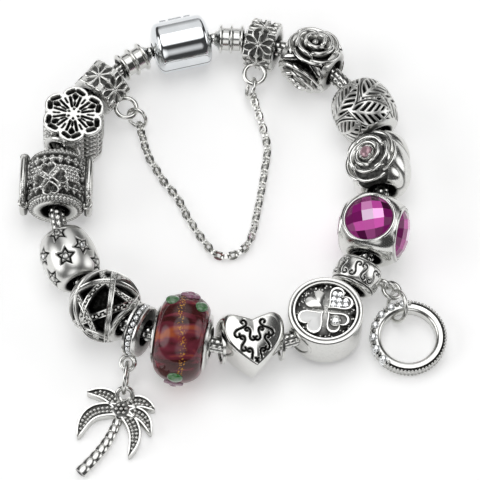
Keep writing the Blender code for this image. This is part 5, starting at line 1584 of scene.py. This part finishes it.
def drum_heart(kind, width, floor, top):
    """One of the drum's hearts with what it holds: a puffed face, rows of stones, or a stone in a ring."""
    if kind == "polished":
        return [raised_heart(width, floor - 0.1, top - 0.1, 0, 0.3)]
    shapes = [raised_heart(width, floor - 0.1, top + 0.2, 0.32)]
    if kind == "pave":
        spots = [(x * width / 4.1, y * width / 4.4, top - 0.02) for x, y in PAVE_SPOTS]
        shapes.append(gems(spots, (0, 0, 1), 0.58, 10, 0.5, finish=1))
    if kind == "open":
        shapes.append(hoop(0.95, 0.22, 32, 8).moved(shift(0, 0.2, top)))
        shapes.append(gems([(0, 0.2, top)], (0, 0, 1), 0.72, 12, 0.5, finish=1))
        claws = round_z(np.array([0.8, 2.4, 3.9, 5.5]), 0.78, top + 0.18) + (0, 0.2, 0)
        shapes.append(balls(claws, 0.22, 5, 8))
    return shapes


def make_clover_drum():
    """A drum with a double rim, and four hearts that point to its middle over a dark, mottled floor."""
    half = DRUM_DEPTH / 2
    r = DRUM_RADIUS
    floor = half - 0.6
    rows = [(r, -half + 0.2, 0), (r, half - 0.25, 0), (r - 0.15, half - 0.05, 0), (r - 0.35, half, 0)]
    rows += [(r - 0.6, half, 0), (r - 0.75, half - 0.08, 0.2), (r - 0.85, half - 0.3, 1)]
    rows += [(r - 0.95, half - 0.1, 0.1), (r - 1.25, half - 0.08, 0), (r - 1.4, floor, 1)]
    rows += [(0.02, floor, 0.35), (0.02, -half + 0.5, 1), (r - 1.2, -half + 0.5, 1)]
    rows += [(r - 1.1, -half, 0), (r - 0.9, -half, 1)]
    rows += [(r - 0.7, -half, 1), (r - 0.4, -half, 0.3), (r - 0.2, -half, 0)]
    shapes = [around_z(rows, 160)]
    a = TAU * np.arange(48) / 48
    for side in (-1, 1):
        plug = []
        for radius, reach in ((3.0, -0.05), (2.95, 0.16), (2.45, 0.18), (2.4, -0.35), (2.4, -0.3)):
            wall = np.sqrt(r * r - (radius * np.sin(a)) ** 2)
            plug.append(np.stack([side * (wall + reach), -radius * np.sin(a), radius * np.cos(a)], -1))
        plug = np.array(plug)[:, ::side]
        shapes.append(skin(plug, tarnish=np.array([0.2, 0, 0.2, 1, 1])[:, None]))
    rng = np.random.default_rng(5)
    reach = (r - 1.5) * np.sqrt(rng.uniform(0, 1, 240))
    crumbs = round_z(rng.uniform(0, TAU, 240), reach, floor)
    shapes.append(balls(crumbs, rng.uniform(0.1, 0.24, 240), 4, 6, 0.6, tarnish=0.2))
    for kind, width in DRUM_HEARTS.items():
        shapes += moved(drum_heart(kind, width, floor, half), heart_place(kind))
    build_bead("four_heart_drum", "clover_drum", shapes, SET_SILVER, 32)
    white = raised_heart(DRUM_HEARTS["enamel"] - 0.65, floor, half + 0.1, 0, 0.2)
    white = white.moved(station_frame("clover_drum") @ heart_place("enamel"))
    build("white_enamel_heart", [white], ["fired_enamel"], ["enamel_heart"])


def make_scroll_bead_and_rings():
    """The oval bead with its loop, the two rings and the finger-ring charm that hang from it."""
    depth = size_in_mm("scroll_depth")
    points, normals = bead_surface(5.4, SCROLL_BEAD_RADIUS, SLEEVE, 300, 90, 2.2)
    cut = np.full(points.shape[:2], FAR)
    for k in range(7):
        x, y, z = local(points, 360 * k / 7, 0, 90)
        for path in (flourish(-0.85, 0, 1.45, 1.1, 1), flourish(0.85, 0, 1.45, 2.0, -1)):
            cut = np.minimum(cut, np.where(z > 0, polyline_field(x, y, path, 0.26), FAR))
    cut = np.minimum(cut, np.abs(np.abs(points[..., 0]) - 2.05) - 0.1)
    cut = soft_step(cut, 0.08)
    cut[:, IN_BORE] = 0
    dark = cut.copy()
    dark[:, IN_BORE] = 1
    body = relief(points, normals, -depth * cut, dark)
    hang = turn(RING_LOOP_ANGLE, "X") @ shift(x=RING_LOOP_ALONG, z=RING_LOOP_REACH)
    loop = hoop(RING_LOOP_MAJOR, RING_WIRE, 48).moved(hang @ turn(90, "Y"))
    build_bead("scroll_barrel", "scroll_bead", [body, loop], OXIDISED)
    ahead = Vector((0.75, -0.62, -0.22)).normalized()
    small = (station_frame("scroll_bead") @ hang).translation + ahead * SMALL_RING_MAJOR * MM
    ring = hoop(SMALL_RING_MAJOR, RING_WIRE, 48).moved(aimed(small, ahead, -15))
    build("small_jump_ring", [ring], RUBBED, ["small_ring"], crease=ALL_SMOOTH)
    flat = Vector((0.3, -0.95, 0)).normalized()
    large = small + flat * (LARGE_RING_MAJOR + 0.45) * MM
    large.z = ((LARGE_RING_MAJOR + RING_WIRE) * math.sin(math.radians(LARGE_RING_LEAN)) + LIFT) * MM
    ring = hoop(LARGE_RING_MAJOR, RING_WIRE, 56).moved(aimed(large, flat, LARGE_RING_LEAN))
    build("large_jump_ring", [ring], RUBBED, ["large_ring"], crease=ALL_SMOOTH)
    make_ring_charm(large, flat)


def make_ring_charm(large, flat):
    """A finger ring in small: a plain band with beaded edges and a crown of set stones on one side."""
    tilt = math.radians(BAND_TILT)
    centre = large + flat * ((BAND_INNER + BAND_OUTER) / 2 + 0.3) * MM
    centre.z = (BAND_HEIGHT / 2 * math.cos(tilt) + BAND_OUTER * math.sin(tilt)) * MM
    place = Matrix.Translation(centre) @ Matrix.Rotation(tilt, 4, Vector((0, 0, 1)).cross(flat))
    half = BAND_HEIGHT / 2
    i, o = BAND_INNER, BAND_OUTER
    mid = (i + o) / 2
    rows = [(i, -half + 0.4, 0.1), (i + 0.25, -half, 0.1), (o - 0.7, -half, 0.1), (o - 0.3, -half + 0.2, 0.2)]
    rows += [(o - 0.3, half - 0.55, 0.3), (o - 0.35, half - 0.35, 0.9), (o - 0.55, half - 0.22, 0.9)]
    rows += [(o - 0.75, half - 0.35, 0.9), (mid + 0.2, half - 0.05, 0), (mid - 0.3, half, 0)]
    rows += [(i + 0.3, half - 0.12, 0), (i, half - 0.5, 0)]
    a = TAU * np.arange(64) / 64
    shapes = [around_z(rows, 140), balls(round_z(a, o - 0.28, half - 0.2), 0.29, 5, 8)]
    shapes.append(balls(round_z(a, o - 0.28, 0.3 - half), 0.22, 4, 7))
    rows = [(0.78, -0.3, 1), (0.98, -0.3, 0.4), (1.02, 0.1, 0), (0.88, 0.2, 0), (0.78, 0.05, 0.6)]
    collar = around_z(rows, 24)
    stones = []
    out = []
    for k in range(7):
        angle = math.radians(RING_CROWN_START + RING_CROWN_STEP * k)
        direction = np.array((math.cos(angle), math.sin(angle), 0))
        stones += [direction * (o - 0.35), direction * (mid + 0.35) + (0, 0, half + 0.05)]
        out += [direction, (0, 0, 1)]
        shapes.append(collar.moved(facing_out(direction * (o - 0.35))))
        for side in (-1, 1):
            claw = math.radians(RING_CROWN_START + RING_CROWN_STEP * (k + 0.5 * side))
            foot = np.array((math.cos(claw), math.sin(claw), 0)) * (o - 0.3)
            shapes.append(wire([foot + (0, 0, -half + 0.2), foot + (0, 0, half - 0.1)], 0.24, 8, tarnish=0.2))
            shapes.append(balls([foot * 0.93 + (0, 0, half + 0.15)], 0.34, 6, 10))
    shapes.append(gems(stones, out, 0.76, 10, 0.5, finish=1))
    build("crowned_ring", moved(shapes, place), SET_SILVER, ["ring_charm"])


def facing_out(direction):
    """A frame at a point in mm, with Z along the direction from the origin to it."""
    z = Vector(direction).normalized()
    y = Vector((0, 0, 1))
    x = y.cross(z).normalized()
    turned = Matrix((x, z.cross(x), z)).transposed().to_4x4()
    return Matrix.Translation(Vector(direction) * MM) @ turned


def checkerboard(size, low, high, seed):
    """A domed stone cut in square facets: a square grid drawn onto a disc, (x sqrt(1 - y^2 / 2), y
    sqrt(1 - x^2 / 2)), and lifted as a dome. Facets take painted light and shade: deep and pale by turns,
    deeper towards the edge, with pale painted highlights on three facets near the middle.
    """
    n = 5
    g = np.array([-1, -0.66, -0.24, 0.24, 0.66, 1])
    gx, gy = np.meshgrid(g, g, indexing="ij")
    x, y = gx * np.sqrt(1 - gy * gy / 2), gy * np.sqrt(1 - gx * gx / 2)
    r2 = x * x + y * y
    z = low + 0.45 + (high - low - 0.45) * np.sqrt(np.clip(1 - 0.96 * r2, 0, 1))
    grid = np.stack([size * x, size * y, z], -1)
    quads = grid_quads(n + 1, n + 1, False, False)[:, ::-1]
    pieces = grid.reshape(-1, 3)[quads]
    facet = np.arange(len(quads))
    row, column = facet // n, facet % n
    rng = np.random.default_rng(seed)
    edge = np.maximum(np.abs(row - 2), np.abs(column - 2)) / 2
    # Painted light and shade: deep and pale by turns, deeper towards the edge, with random tone
    deep = 0.3 * ((row + column) % 2) + 0.7 * (edge - 0.3) + rng.uniform(-0.15, 0.2, len(quads))
    # Painted highlights: three facets near the middle flash pale
    deep[(row == 2) & (column == 2)] = -1.0
    deep[(row == 2) & (column == 1)] = -0.45
    deep[(row == 3) & (column == 2)] = -0.3
    points = pieces.reshape(-1, 3)
    faces = np.arange(len(points)).reshape(-1, 4)
    dome = Shape(points, faces, None, np.repeat(deep, 4), 0, False)
    a = TAU * np.arange(48) / 48
    circle = np.stack([size * np.cos(a), size * np.sin(a)], -1)
    rows = [(0.05, low), (0.98, low), (1.0, low + 0.3), (0.985, low + 0.62), (0.9, low + 0.6)]
    sections = [np.column_stack([circle * k, np.full(48, z)]) for k, z in rows]
    girdle = skin(np.array(sections), tarnish=0.95)
    return [dome, girdle]


def make_crystal_bead():
    """A smooth barrel with three flats, a raised bezel on each, and a domed cut stone in each bezel."""
    points, normals = bead_surface(11.2, 6.6, SLEEVE, 240, 90, 2.3)
    height = np.zeros(points.shape[:2])
    dark = np.zeros(points.shape[:2])
    for angle in CRYSTAL_TURNS:
        x, y, z = local(points, angle, 0)
        r = np.hypot(x, y)
        seat = (z > 0) * soft_step(r - 4.55, 0.12)
        flat = np.minimum(z - 4.0, 2.0) * seat
        height = np.where(seat > 0, -np.maximum(flat, 0), height)
        groove = (z > 0) * soft_step(np.abs(r - 5.0) - 0.12, 0.1)
        dark = np.maximum(dark, 0.35 * groove)
    dark[:, IN_BORE] = 1
    rim = [(4.6, 2.5, 0.05), (5.58, 2.55, 0.05), (5.58, 3.1, 0.05), (4.9, 3.6, 0.05)]
    shapes = [relief(points, normals, height, dark), *end_rings(rim, 48)]
    rows = [(4.25, 3.6, 0.8), (4.95, 3.6, 0.3), (4.9, 4.9, 0), (4.72, 5.12, 0), (4.45, 5.16, 0)]
    bezel = around_z([*rows, (4.22, 5.0, 0.5)], 96)
    for k, angle in enumerate(CRYSTAL_TURNS):
        shapes.append(bezel.moved(turn(angle, "X")))
        stone = checkerboard(CRYSTAL_RADIUS, CRYSTAL_SEAT - 0.1, CRYSTAL_TOP, 3 + k)
        stone = moved(stone, station_frame("crystal_bead") @ turn(angle, "X") @ turn(20, "Z"))
        node = f"crystal_{k + 1}"
        build(f"cut_{node}", stone, ["foil_backed_crystal_painted_light"], [node], crease=20)
    build_bead("bezelled_barrel", "crystal_bead", shapes, RUBBED)


def petal(angle, radius, spread, low, lip, size, twist=0.0, thick=0.36, steps=28):
    """A cupped petal about Z: from a root at the middle out and up to a thick, rolled lip. The lip's radius
    swells by (1 - u^2) across the petal and twists by u, so each petal tucks under its neighbour.
    """
    u = np.linspace(-1, 1, steps)
    a = math.radians(angle) + math.radians(spread) * u
    fall = np.sqrt(np.clip(1 - np.abs(u) ** 4, 0, 1))
    reach = radius * (1 + 0.1 * (1 - u * u) + twist * u)
    top = low + (lip - low) * (0.25 + 0.75 * fall)
    turns = np.linspace(-0.55 * PI, 0.9 * PI, 7)
    rows = [(reach - size, low + 0.2 * (top - low)), (reach - 0.7 * size, low + 0.66 * (top - low))]
    rows.append((reach - 0.34 * size, low + 0.93 * (top - low)))
    roll = [(reach + thick * np.cos(w), top + thick * 0.8 * np.sin(w)) for w in turns[::-1]]
    outer = [(reach + 0.02 * size, low + 0.5 * (top - low)), (reach - 0.15 * size, low + 0 * u)]
    loop = rows + roll + outer
    sections = np.stack([round_z(a, r, z) for r, z in loop], 1)
    dark = np.array([1, 0.85, 0.1] + [0.0] * 7 + [0.7, 1.0])
    return skin(sections, tarnish=dark)


def rose(radius, low, lift, rings, turned=0.0):
    """Rings of petals round Z: each ring is (radius share, petals, height share)."""
    shapes = []
    for k, (share, count, rise) in enumerate(rings):
        size = radius * (0.34 if k < len(rings) - 1 else 0.24)
        for i in range(count):
            angle = turned + 360 * (i + 0.13 * (i % 2)) / count + 47 * k
            lip = low + lift * rise * (1 + 0.06 * (i % 2))
            shapes.append(petal(angle, share * radius, 0.66 * 360 / count, low, lip, size, 0.11))
    foot = low - 0.4
    base = [(0.02, foot, 1), (radius * 0.95, foot, 1), (radius * 0.92, low, 1), (0.02, low + 0.3 * lift, 1)]
    return [*shapes, around_z(base, 40)]


def make_rose_bead():
    """A barrel folded in waves behind, |sin| of angle and length, and a rose with a stone in front."""
    points, normals = bead_surface(10.4, 5.3, SLEEVE, 300, 90, 2.4)
    around = np.arctan2(-points[..., 1], points[..., 2])
    back = np.abs(around) > math.radians(40)
    waves = np.abs(np.sin(1.5 * around + 0.55 * points[..., 0]))
    bulge = np.clip(waves, 0.02, 1) ** 0.4
    height = np.where(back, 0.55 * bulge - 0.25, 0)
    dark = np.where(back, np.clip(1 - 1.7 * bulge, 0, 1), 0.9)
    dark[:, IN_BORE] = 1
    height[:, IN_BORE] = 0
    rings = [(0.95, 5, 0.2), (0.7, 4, 0.66), (0.44, 3, 0.92)]
    shapes = [relief(points, normals, height, dark), *rose(4.6, 3.5, 2.1, rings, 20)]
    seat = [(1.15, 5.0, 0.8), (1.45, 5.0, 0.4), (1.42, 5.75, 0), (1.3, 5.9, 0), (1.15, 5.8, 0.4)]
    shapes.append(around_z(seat, 40))
    shapes.append(balls(round_z(np.radians([40, 130, 220, 310]), 1.22, 5.95), 0.3, 6, 10))
    build_bead("rose_in_bloom", "rose_bead", shapes, OXIDISED, 50)
    stone = gems([(0, 0, 5.85)], (0, 0, 1), 1.15, 10, 0.5, 0.5, 0.4).moved(station_frame("rose_bead"))
    build("rose_stone_cut", [stone], ["pale_pink_crystal"], ["rose_stone"], crease=20)


def make_leaf_ball():
    """A ball covered in pointed leaves: |y| < w cos(pi x / 2L), with herringbone veins cut across them."""
    depth = size_in_mm("vein_depth")
    points, normals = bead_surface(10.4, LEAF_BALL_RADIUS, SLEEVE, 420, 170)
    cut = np.full(points.shape[:2], FAR)
    edge = np.full(points.shape[:2], FAR)
    here = seen_at("leaf_ball", 0.9, 0.2, LEAF_BALL_RADIUS)
    for k in range(5):
        for row, along in enumerate((-24, 24)):
            around = here[0] + 72 * (k + 0.5 * row)
            x, y, z = local(points, around, along if (k, row) != (0, 0) else here[1], 65 + 50 * row)
            y = y - 0.5 * np.cos(PI * x / 7)
            half = 2.35 * np.clip(np.cos(PI * x / 7.6), 0, 1) ** 0.8
            outline = np.where((z > 0) & (np.abs(x) < 3.8), np.abs(y) - half, FAR)
            outline = np.where(edge > -0.05, outline, FAR)
            vein = (x + 0.9 * np.abs(y)) % 1.25
            ribs = np.maximum(np.abs(vein - 0.62) - 0.26, 0.34 - np.abs(y))
            cut = np.where(outline < 0.14, np.maximum(ribs, outline + 0.36), cut)
            edge = np.minimum(edge, outline)
    wander = 2.2 * np.sin(np.arctan2(points[..., 1], points[..., 2]) * 3)
    between = np.abs((points[..., 0] * 0.9 + wander) % 1.2 - 0.6) - 0.22
    cut = np.where(edge > 0.3, np.maximum(between, 0.45 - edge), cut)
    border = np.abs(edge - 0.12) - 0.05
    cut = np.minimum(cut, np.where(np.abs(points[..., 0]) < 4.6, border, FAR))
    cut = np.where(np.abs(points[..., 0]) > 4.75, FAR, cut)
    sunk = soft_step(cut - 0.04, 0.07)
    sunk[:, IN_BORE] = 0
    dark = np.clip(1.6 * sunk, 0, 1)
    dark[:, IN_BORE] = 1
    shell = relief(points, normals, -depth * sunk, dark)
    build_bead("veined_leaf_ball", "leaf_ball", [shell], ["satin_silver"])


def make_triple_rose():
    """A banded sleeve with three roses round it, and a pair of leaves in each gap between them."""
    half = ROWS["triple_rose_bead"].length / 2
    rows = [(half - 1.3, 3.5, 1), (half - 1.1, 3.9, 0), (half - 0.25, 3.9, 0), (half, 2.6, 0.6)]
    shapes = [sleeve([*rows, (half - 0.2, BORE, 1)], 64)]
    blade = balls([(0, 0, 0)], 1.0, 8, 14, 0.35, tarnish=0.05).moved(Matrix.Diagonal((2.1, 1.05, 1.6, 1)))
    vein = wire([(-2.0, 0, 0.5), (0, 0, 0.72), (2.0, 0, 0.5)], 0.14, 6, 4, tarnish=0.9)
    for k in range(3):
        for side in (-1, 1):
            gap = turn(TRIPLE_ROSE_TURN + 60 + 120 * k, "X")
            shapes += moved([blade, vein], gap @ shift(side * 2.3, 0, 3.75) @ turn(side * 28, "Z"))
    rings = [(0.94, 5, 0.3), (0.66, 4, 0.75), (0.36, 3, 1.0)]
    bloom = rose(4.35, 3.1, 2.1, rings, 10)
    bud = balls([(0, 0, 4.7)], 0.6, 8, 14, 0.8, tarnish=0.1)
    for k in range(3):
        shapes += moved([*bloom, bud], turn(TRIPLE_ROSE_TURN + 120 * k, "X"))
    build_bead("three_roses", "triple_rose_bead", shapes, OXIDISED, 50)


# Stage


def make_stage():
    """A white table, the camera, and soft boxes with dark gaps between them, which the silver mirrors."""
    scene = bpy.context.scene
    scene.view_settings.view_transform = "Standard"
    paper, tree, shader = new_finish("white_paper")
    place = add_node(tree, "ShaderNodeTexCoord").outputs["Object"]
    grain = add_node(tree, "ShaderNodeTexNoise", Vector=place, Scale=per_mm(0.6)).outputs["Fac"]
    floor = scene.bracelet_colours.floor
    tint = add_node(tree, "ShaderNodeMix", COLOUR_MIX, Factor=grain, n6=floor, n7=linear("FAFAFA"))
    fill(tree, shader, Base_Color=tint.outputs[2], Roughness=0.6)
    fill(tree, shader, Emission_Color=(1, 1, 1), Emission_Strength=TABLE_GLOW)
    mesh = bpy.data.meshes.new("table")
    reach = TABLE_REACH
    corners = [(-reach, -reach, 0), (reach, -reach, 0), (reach, reach, 0), (-reach, reach, 0)]
    mesh.from_pydata(corners, [], [(0, 1, 2, 3)])
    mesh.materials.append(paper)
    table = bpy.data.objects.new("table", mesh)
    scene.collection.objects.link(table)

    world = bpy.data.worlds.new("studio")
    world.use_nodes = True
    tree = world.node_tree
    direction = add_node(tree, "ShaderNodeTexCoord").outputs["Generated"]
    glow = SKY_GLOW
    for toward, wide, soft, strength in SOFTBOXES:
        aim = Vector(toward).normalized()
        cosine = add_node(tree, "ShaderNodeVectorMath", {"operation": "DOT_PRODUCT"}, n0=direction, n1=aim)
        box = add_node(
            tree,
            "ShaderNodeMapRange",
            {"interpolation_type": "SMOOTHSTEP"},
            Value=cosine.outputs["Value"],
            From_Min=math.cos(math.radians(wide + soft)),
            From_Max=math.cos(math.radians(wide - soft)),
            To_Max=strength,
        )
        total = add_node(tree, "ShaderNodeMath", {"operation": "ADD"}, n0=glow, n1=box.outputs["Result"])
        glow = total.outputs["Value"]
    fill(tree, tree.nodes["Background"], Color=(1, 1, 1), Strength=glow)
    scene.world = world

    camera = bpy.data.cameras.new("camera")
    camera.lens = CAMERA_LENS
    camera.clip_start = 0.01
    camera.clip_end = 10
    view = bpy.data.objects.new("camera", camera)
    view.location = Vector(CAMERA_TARGET) * MM + TO_CAMERA * CAMERA_DISTANCE
    view.rotation_euler = (-TO_CAMERA).to_track_quat("-Z", "Y").to_euler()
    scene.collection.objects.link(view)
    scene.camera = view


# Add-on


class BRACELET_OT_clasp(bpy.types.Operator):
    """Make the barrel clasp's two shells and the ridged end caps that snap into it"""

    bl_idname = "bracelet.clasp"
    bl_label = "Clasp and end caps"

    def execute(self, context):
        make_clasp()
        make_cap("cap_left", -1)
        make_cap("cap_right", 1)
        return {"FINISHED"}


class BRACELET_OT_snake_chain(bpy.types.Operator):
    """Make the woven chain that the charms are strung on"""

    bl_idname = "bracelet.snake_chain"
    bl_label = "Snake chain"

    def execute(self, context):
        make_snake_chain()
        return {"FINISHED"}


class BRACELET_OT_stoppers(bpy.types.Operator):
    """Make the daisy stoppers, their jump rings and the links between them"""

    bl_idname = "bracelet.stoppers"
    bl_label = "Stoppers and safety chain"

    def execute(self, context):
        make_stoppers_and_safety_chain()
        return {"FINISHED"}


class BRACELET_OT_openwork(bpy.types.Operator):
    """Make the openwork flower and the openwork globe with scrolled sides"""

    bl_idname = "bracelet.openwork"
    bl_label = "Openwork beads"

    def execute(self, context):
        make_flower_bead()
        make_globe_bead()
        return {"FINISHED"}


class BRACELET_OT_balls(bpy.types.Operator):
    """Make the ball with stars and the ball of crossing bands"""

    bl_idname = "bracelet.balls"
    bl_label = "Star and strand balls"

    def execute(self, context):
        make_star_ball()
        make_strand_ball()
        return {"FINISHED"}


class BRACELET_OT_palm(bpy.types.Operator):
    """Make the stone-set spacer, its jump ring and the palm"""

    bl_idname = "bracelet.palm"
    bl_label = "Spacer and palm"

    def execute(self, context):
        make_palm_hang()
        return {"FINISHED"}


class BRACELET_OT_glass(bpy.types.Operator):
    """Make the lampwork glass, its dabs and its silver core"""

    bl_idname = "bracelet.glass"
    bl_label = "Glass bead"

    def execute(self, context):
        make_glass()
        return {"FINISHED"}


class BRACELET_OT_hearts(bpy.types.Operator):
    """Make the puffed heart, and the drum of hearts with its white enamel one"""

    bl_idname = "bracelet.hearts"
    bl_label = "Heart beads"

    def execute(self, context):
        make_heart_bead()
        make_clover_drum()
        return {"FINISHED"}


class BRACELET_OT_ring(bpy.types.Operator):
    """Make the oval bead, its rings and the finger-ring charm"""

    bl_idname = "bracelet.ring"
    bl_label = "Scroll bead and ring charm"

    def execute(self, context):
        make_scroll_bead_and_rings()
        return {"FINISHED"}


class BRACELET_OT_crystals(bpy.types.Operator):
    """Make the bead with three cut stones"""

    bl_idname = "bracelet.crystals"
    bl_label = "Crystal bead"

    def execute(self, context):
        make_crystal_bead()
        return {"FINISHED"}


class BRACELET_OT_roses(bpy.types.Operator):
    """Make the rose with its pale stone, the ball of veined leaves and the sleeve with three roses"""

    bl_idname = "bracelet.roses"
    bl_label = "Rose and leaf beads"

    def execute(self, context):
        make_rose_bead()
        make_leaf_ball()
        make_triple_rose()
        return {"FINISHED"}


class BRACELET_OT_stage(bpy.types.Operator):
    """Make the table, the lights and the camera"""

    bl_idname = "bracelet.stage"
    bl_label = "Stage"

    def execute(self, context):
        make_stage()
        return {"FINISHED"}


OPERATORS = [
    BRACELET_OT_clasp,
    BRACELET_OT_snake_chain,
    BRACELET_OT_stoppers,
    BRACELET_OT_openwork,
    BRACELET_OT_balls,
    BRACELET_OT_palm,
    BRACELET_OT_glass,
    BRACELET_OT_hearts,
    BRACELET_OT_ring,
    BRACELET_OT_crystals,
    BRACELET_OT_roses,
    BRACELET_OT_stage,
]


class BRACELET_PT_pieces(bpy.types.Panel):
    """The bracelet's sizes, colours and pieces"""

    bl_label = "Charm bracelet"
    bl_space_type = "VIEW_3D"
    bl_region_type = "UI"
    bl_category = "Bracelet"

    def draw(self, context):
        for group in (context.scene.bracelet_sizes, context.scene.bracelet_colours):
            for name in group.__annotations__:
                self.layout.prop(group, name)
        for operator in OPERATORS:
            self.layout.operator(operator.bl_idname)


CLASSES = [BraceletSizes, BraceletColours, *OPERATORS, BRACELET_PT_pieces]


def register():
    for kind in CLASSES:
        bpy.utils.register_class(kind)
    bpy.types.Scene.bracelet_sizes = PointerProperty(type=BraceletSizes)
    bpy.types.Scene.bracelet_colours = PointerProperty(type=BraceletColours)


def unregister():
    del bpy.types.Scene.bracelet_sizes
    del bpy.types.Scene.bracelet_colours
    for kind in reversed(CLASSES):
        bpy.utils.unregister_class(kind)


def main():
    register()
    for operator in OPERATORS:
        getattr(bpy.ops.bracelet, operator.bl_idname.split(".")[1])()


def plain(box):
    return [[float(value) for value in corner] for corner in box]


if __name__ == "__main__":
    main()
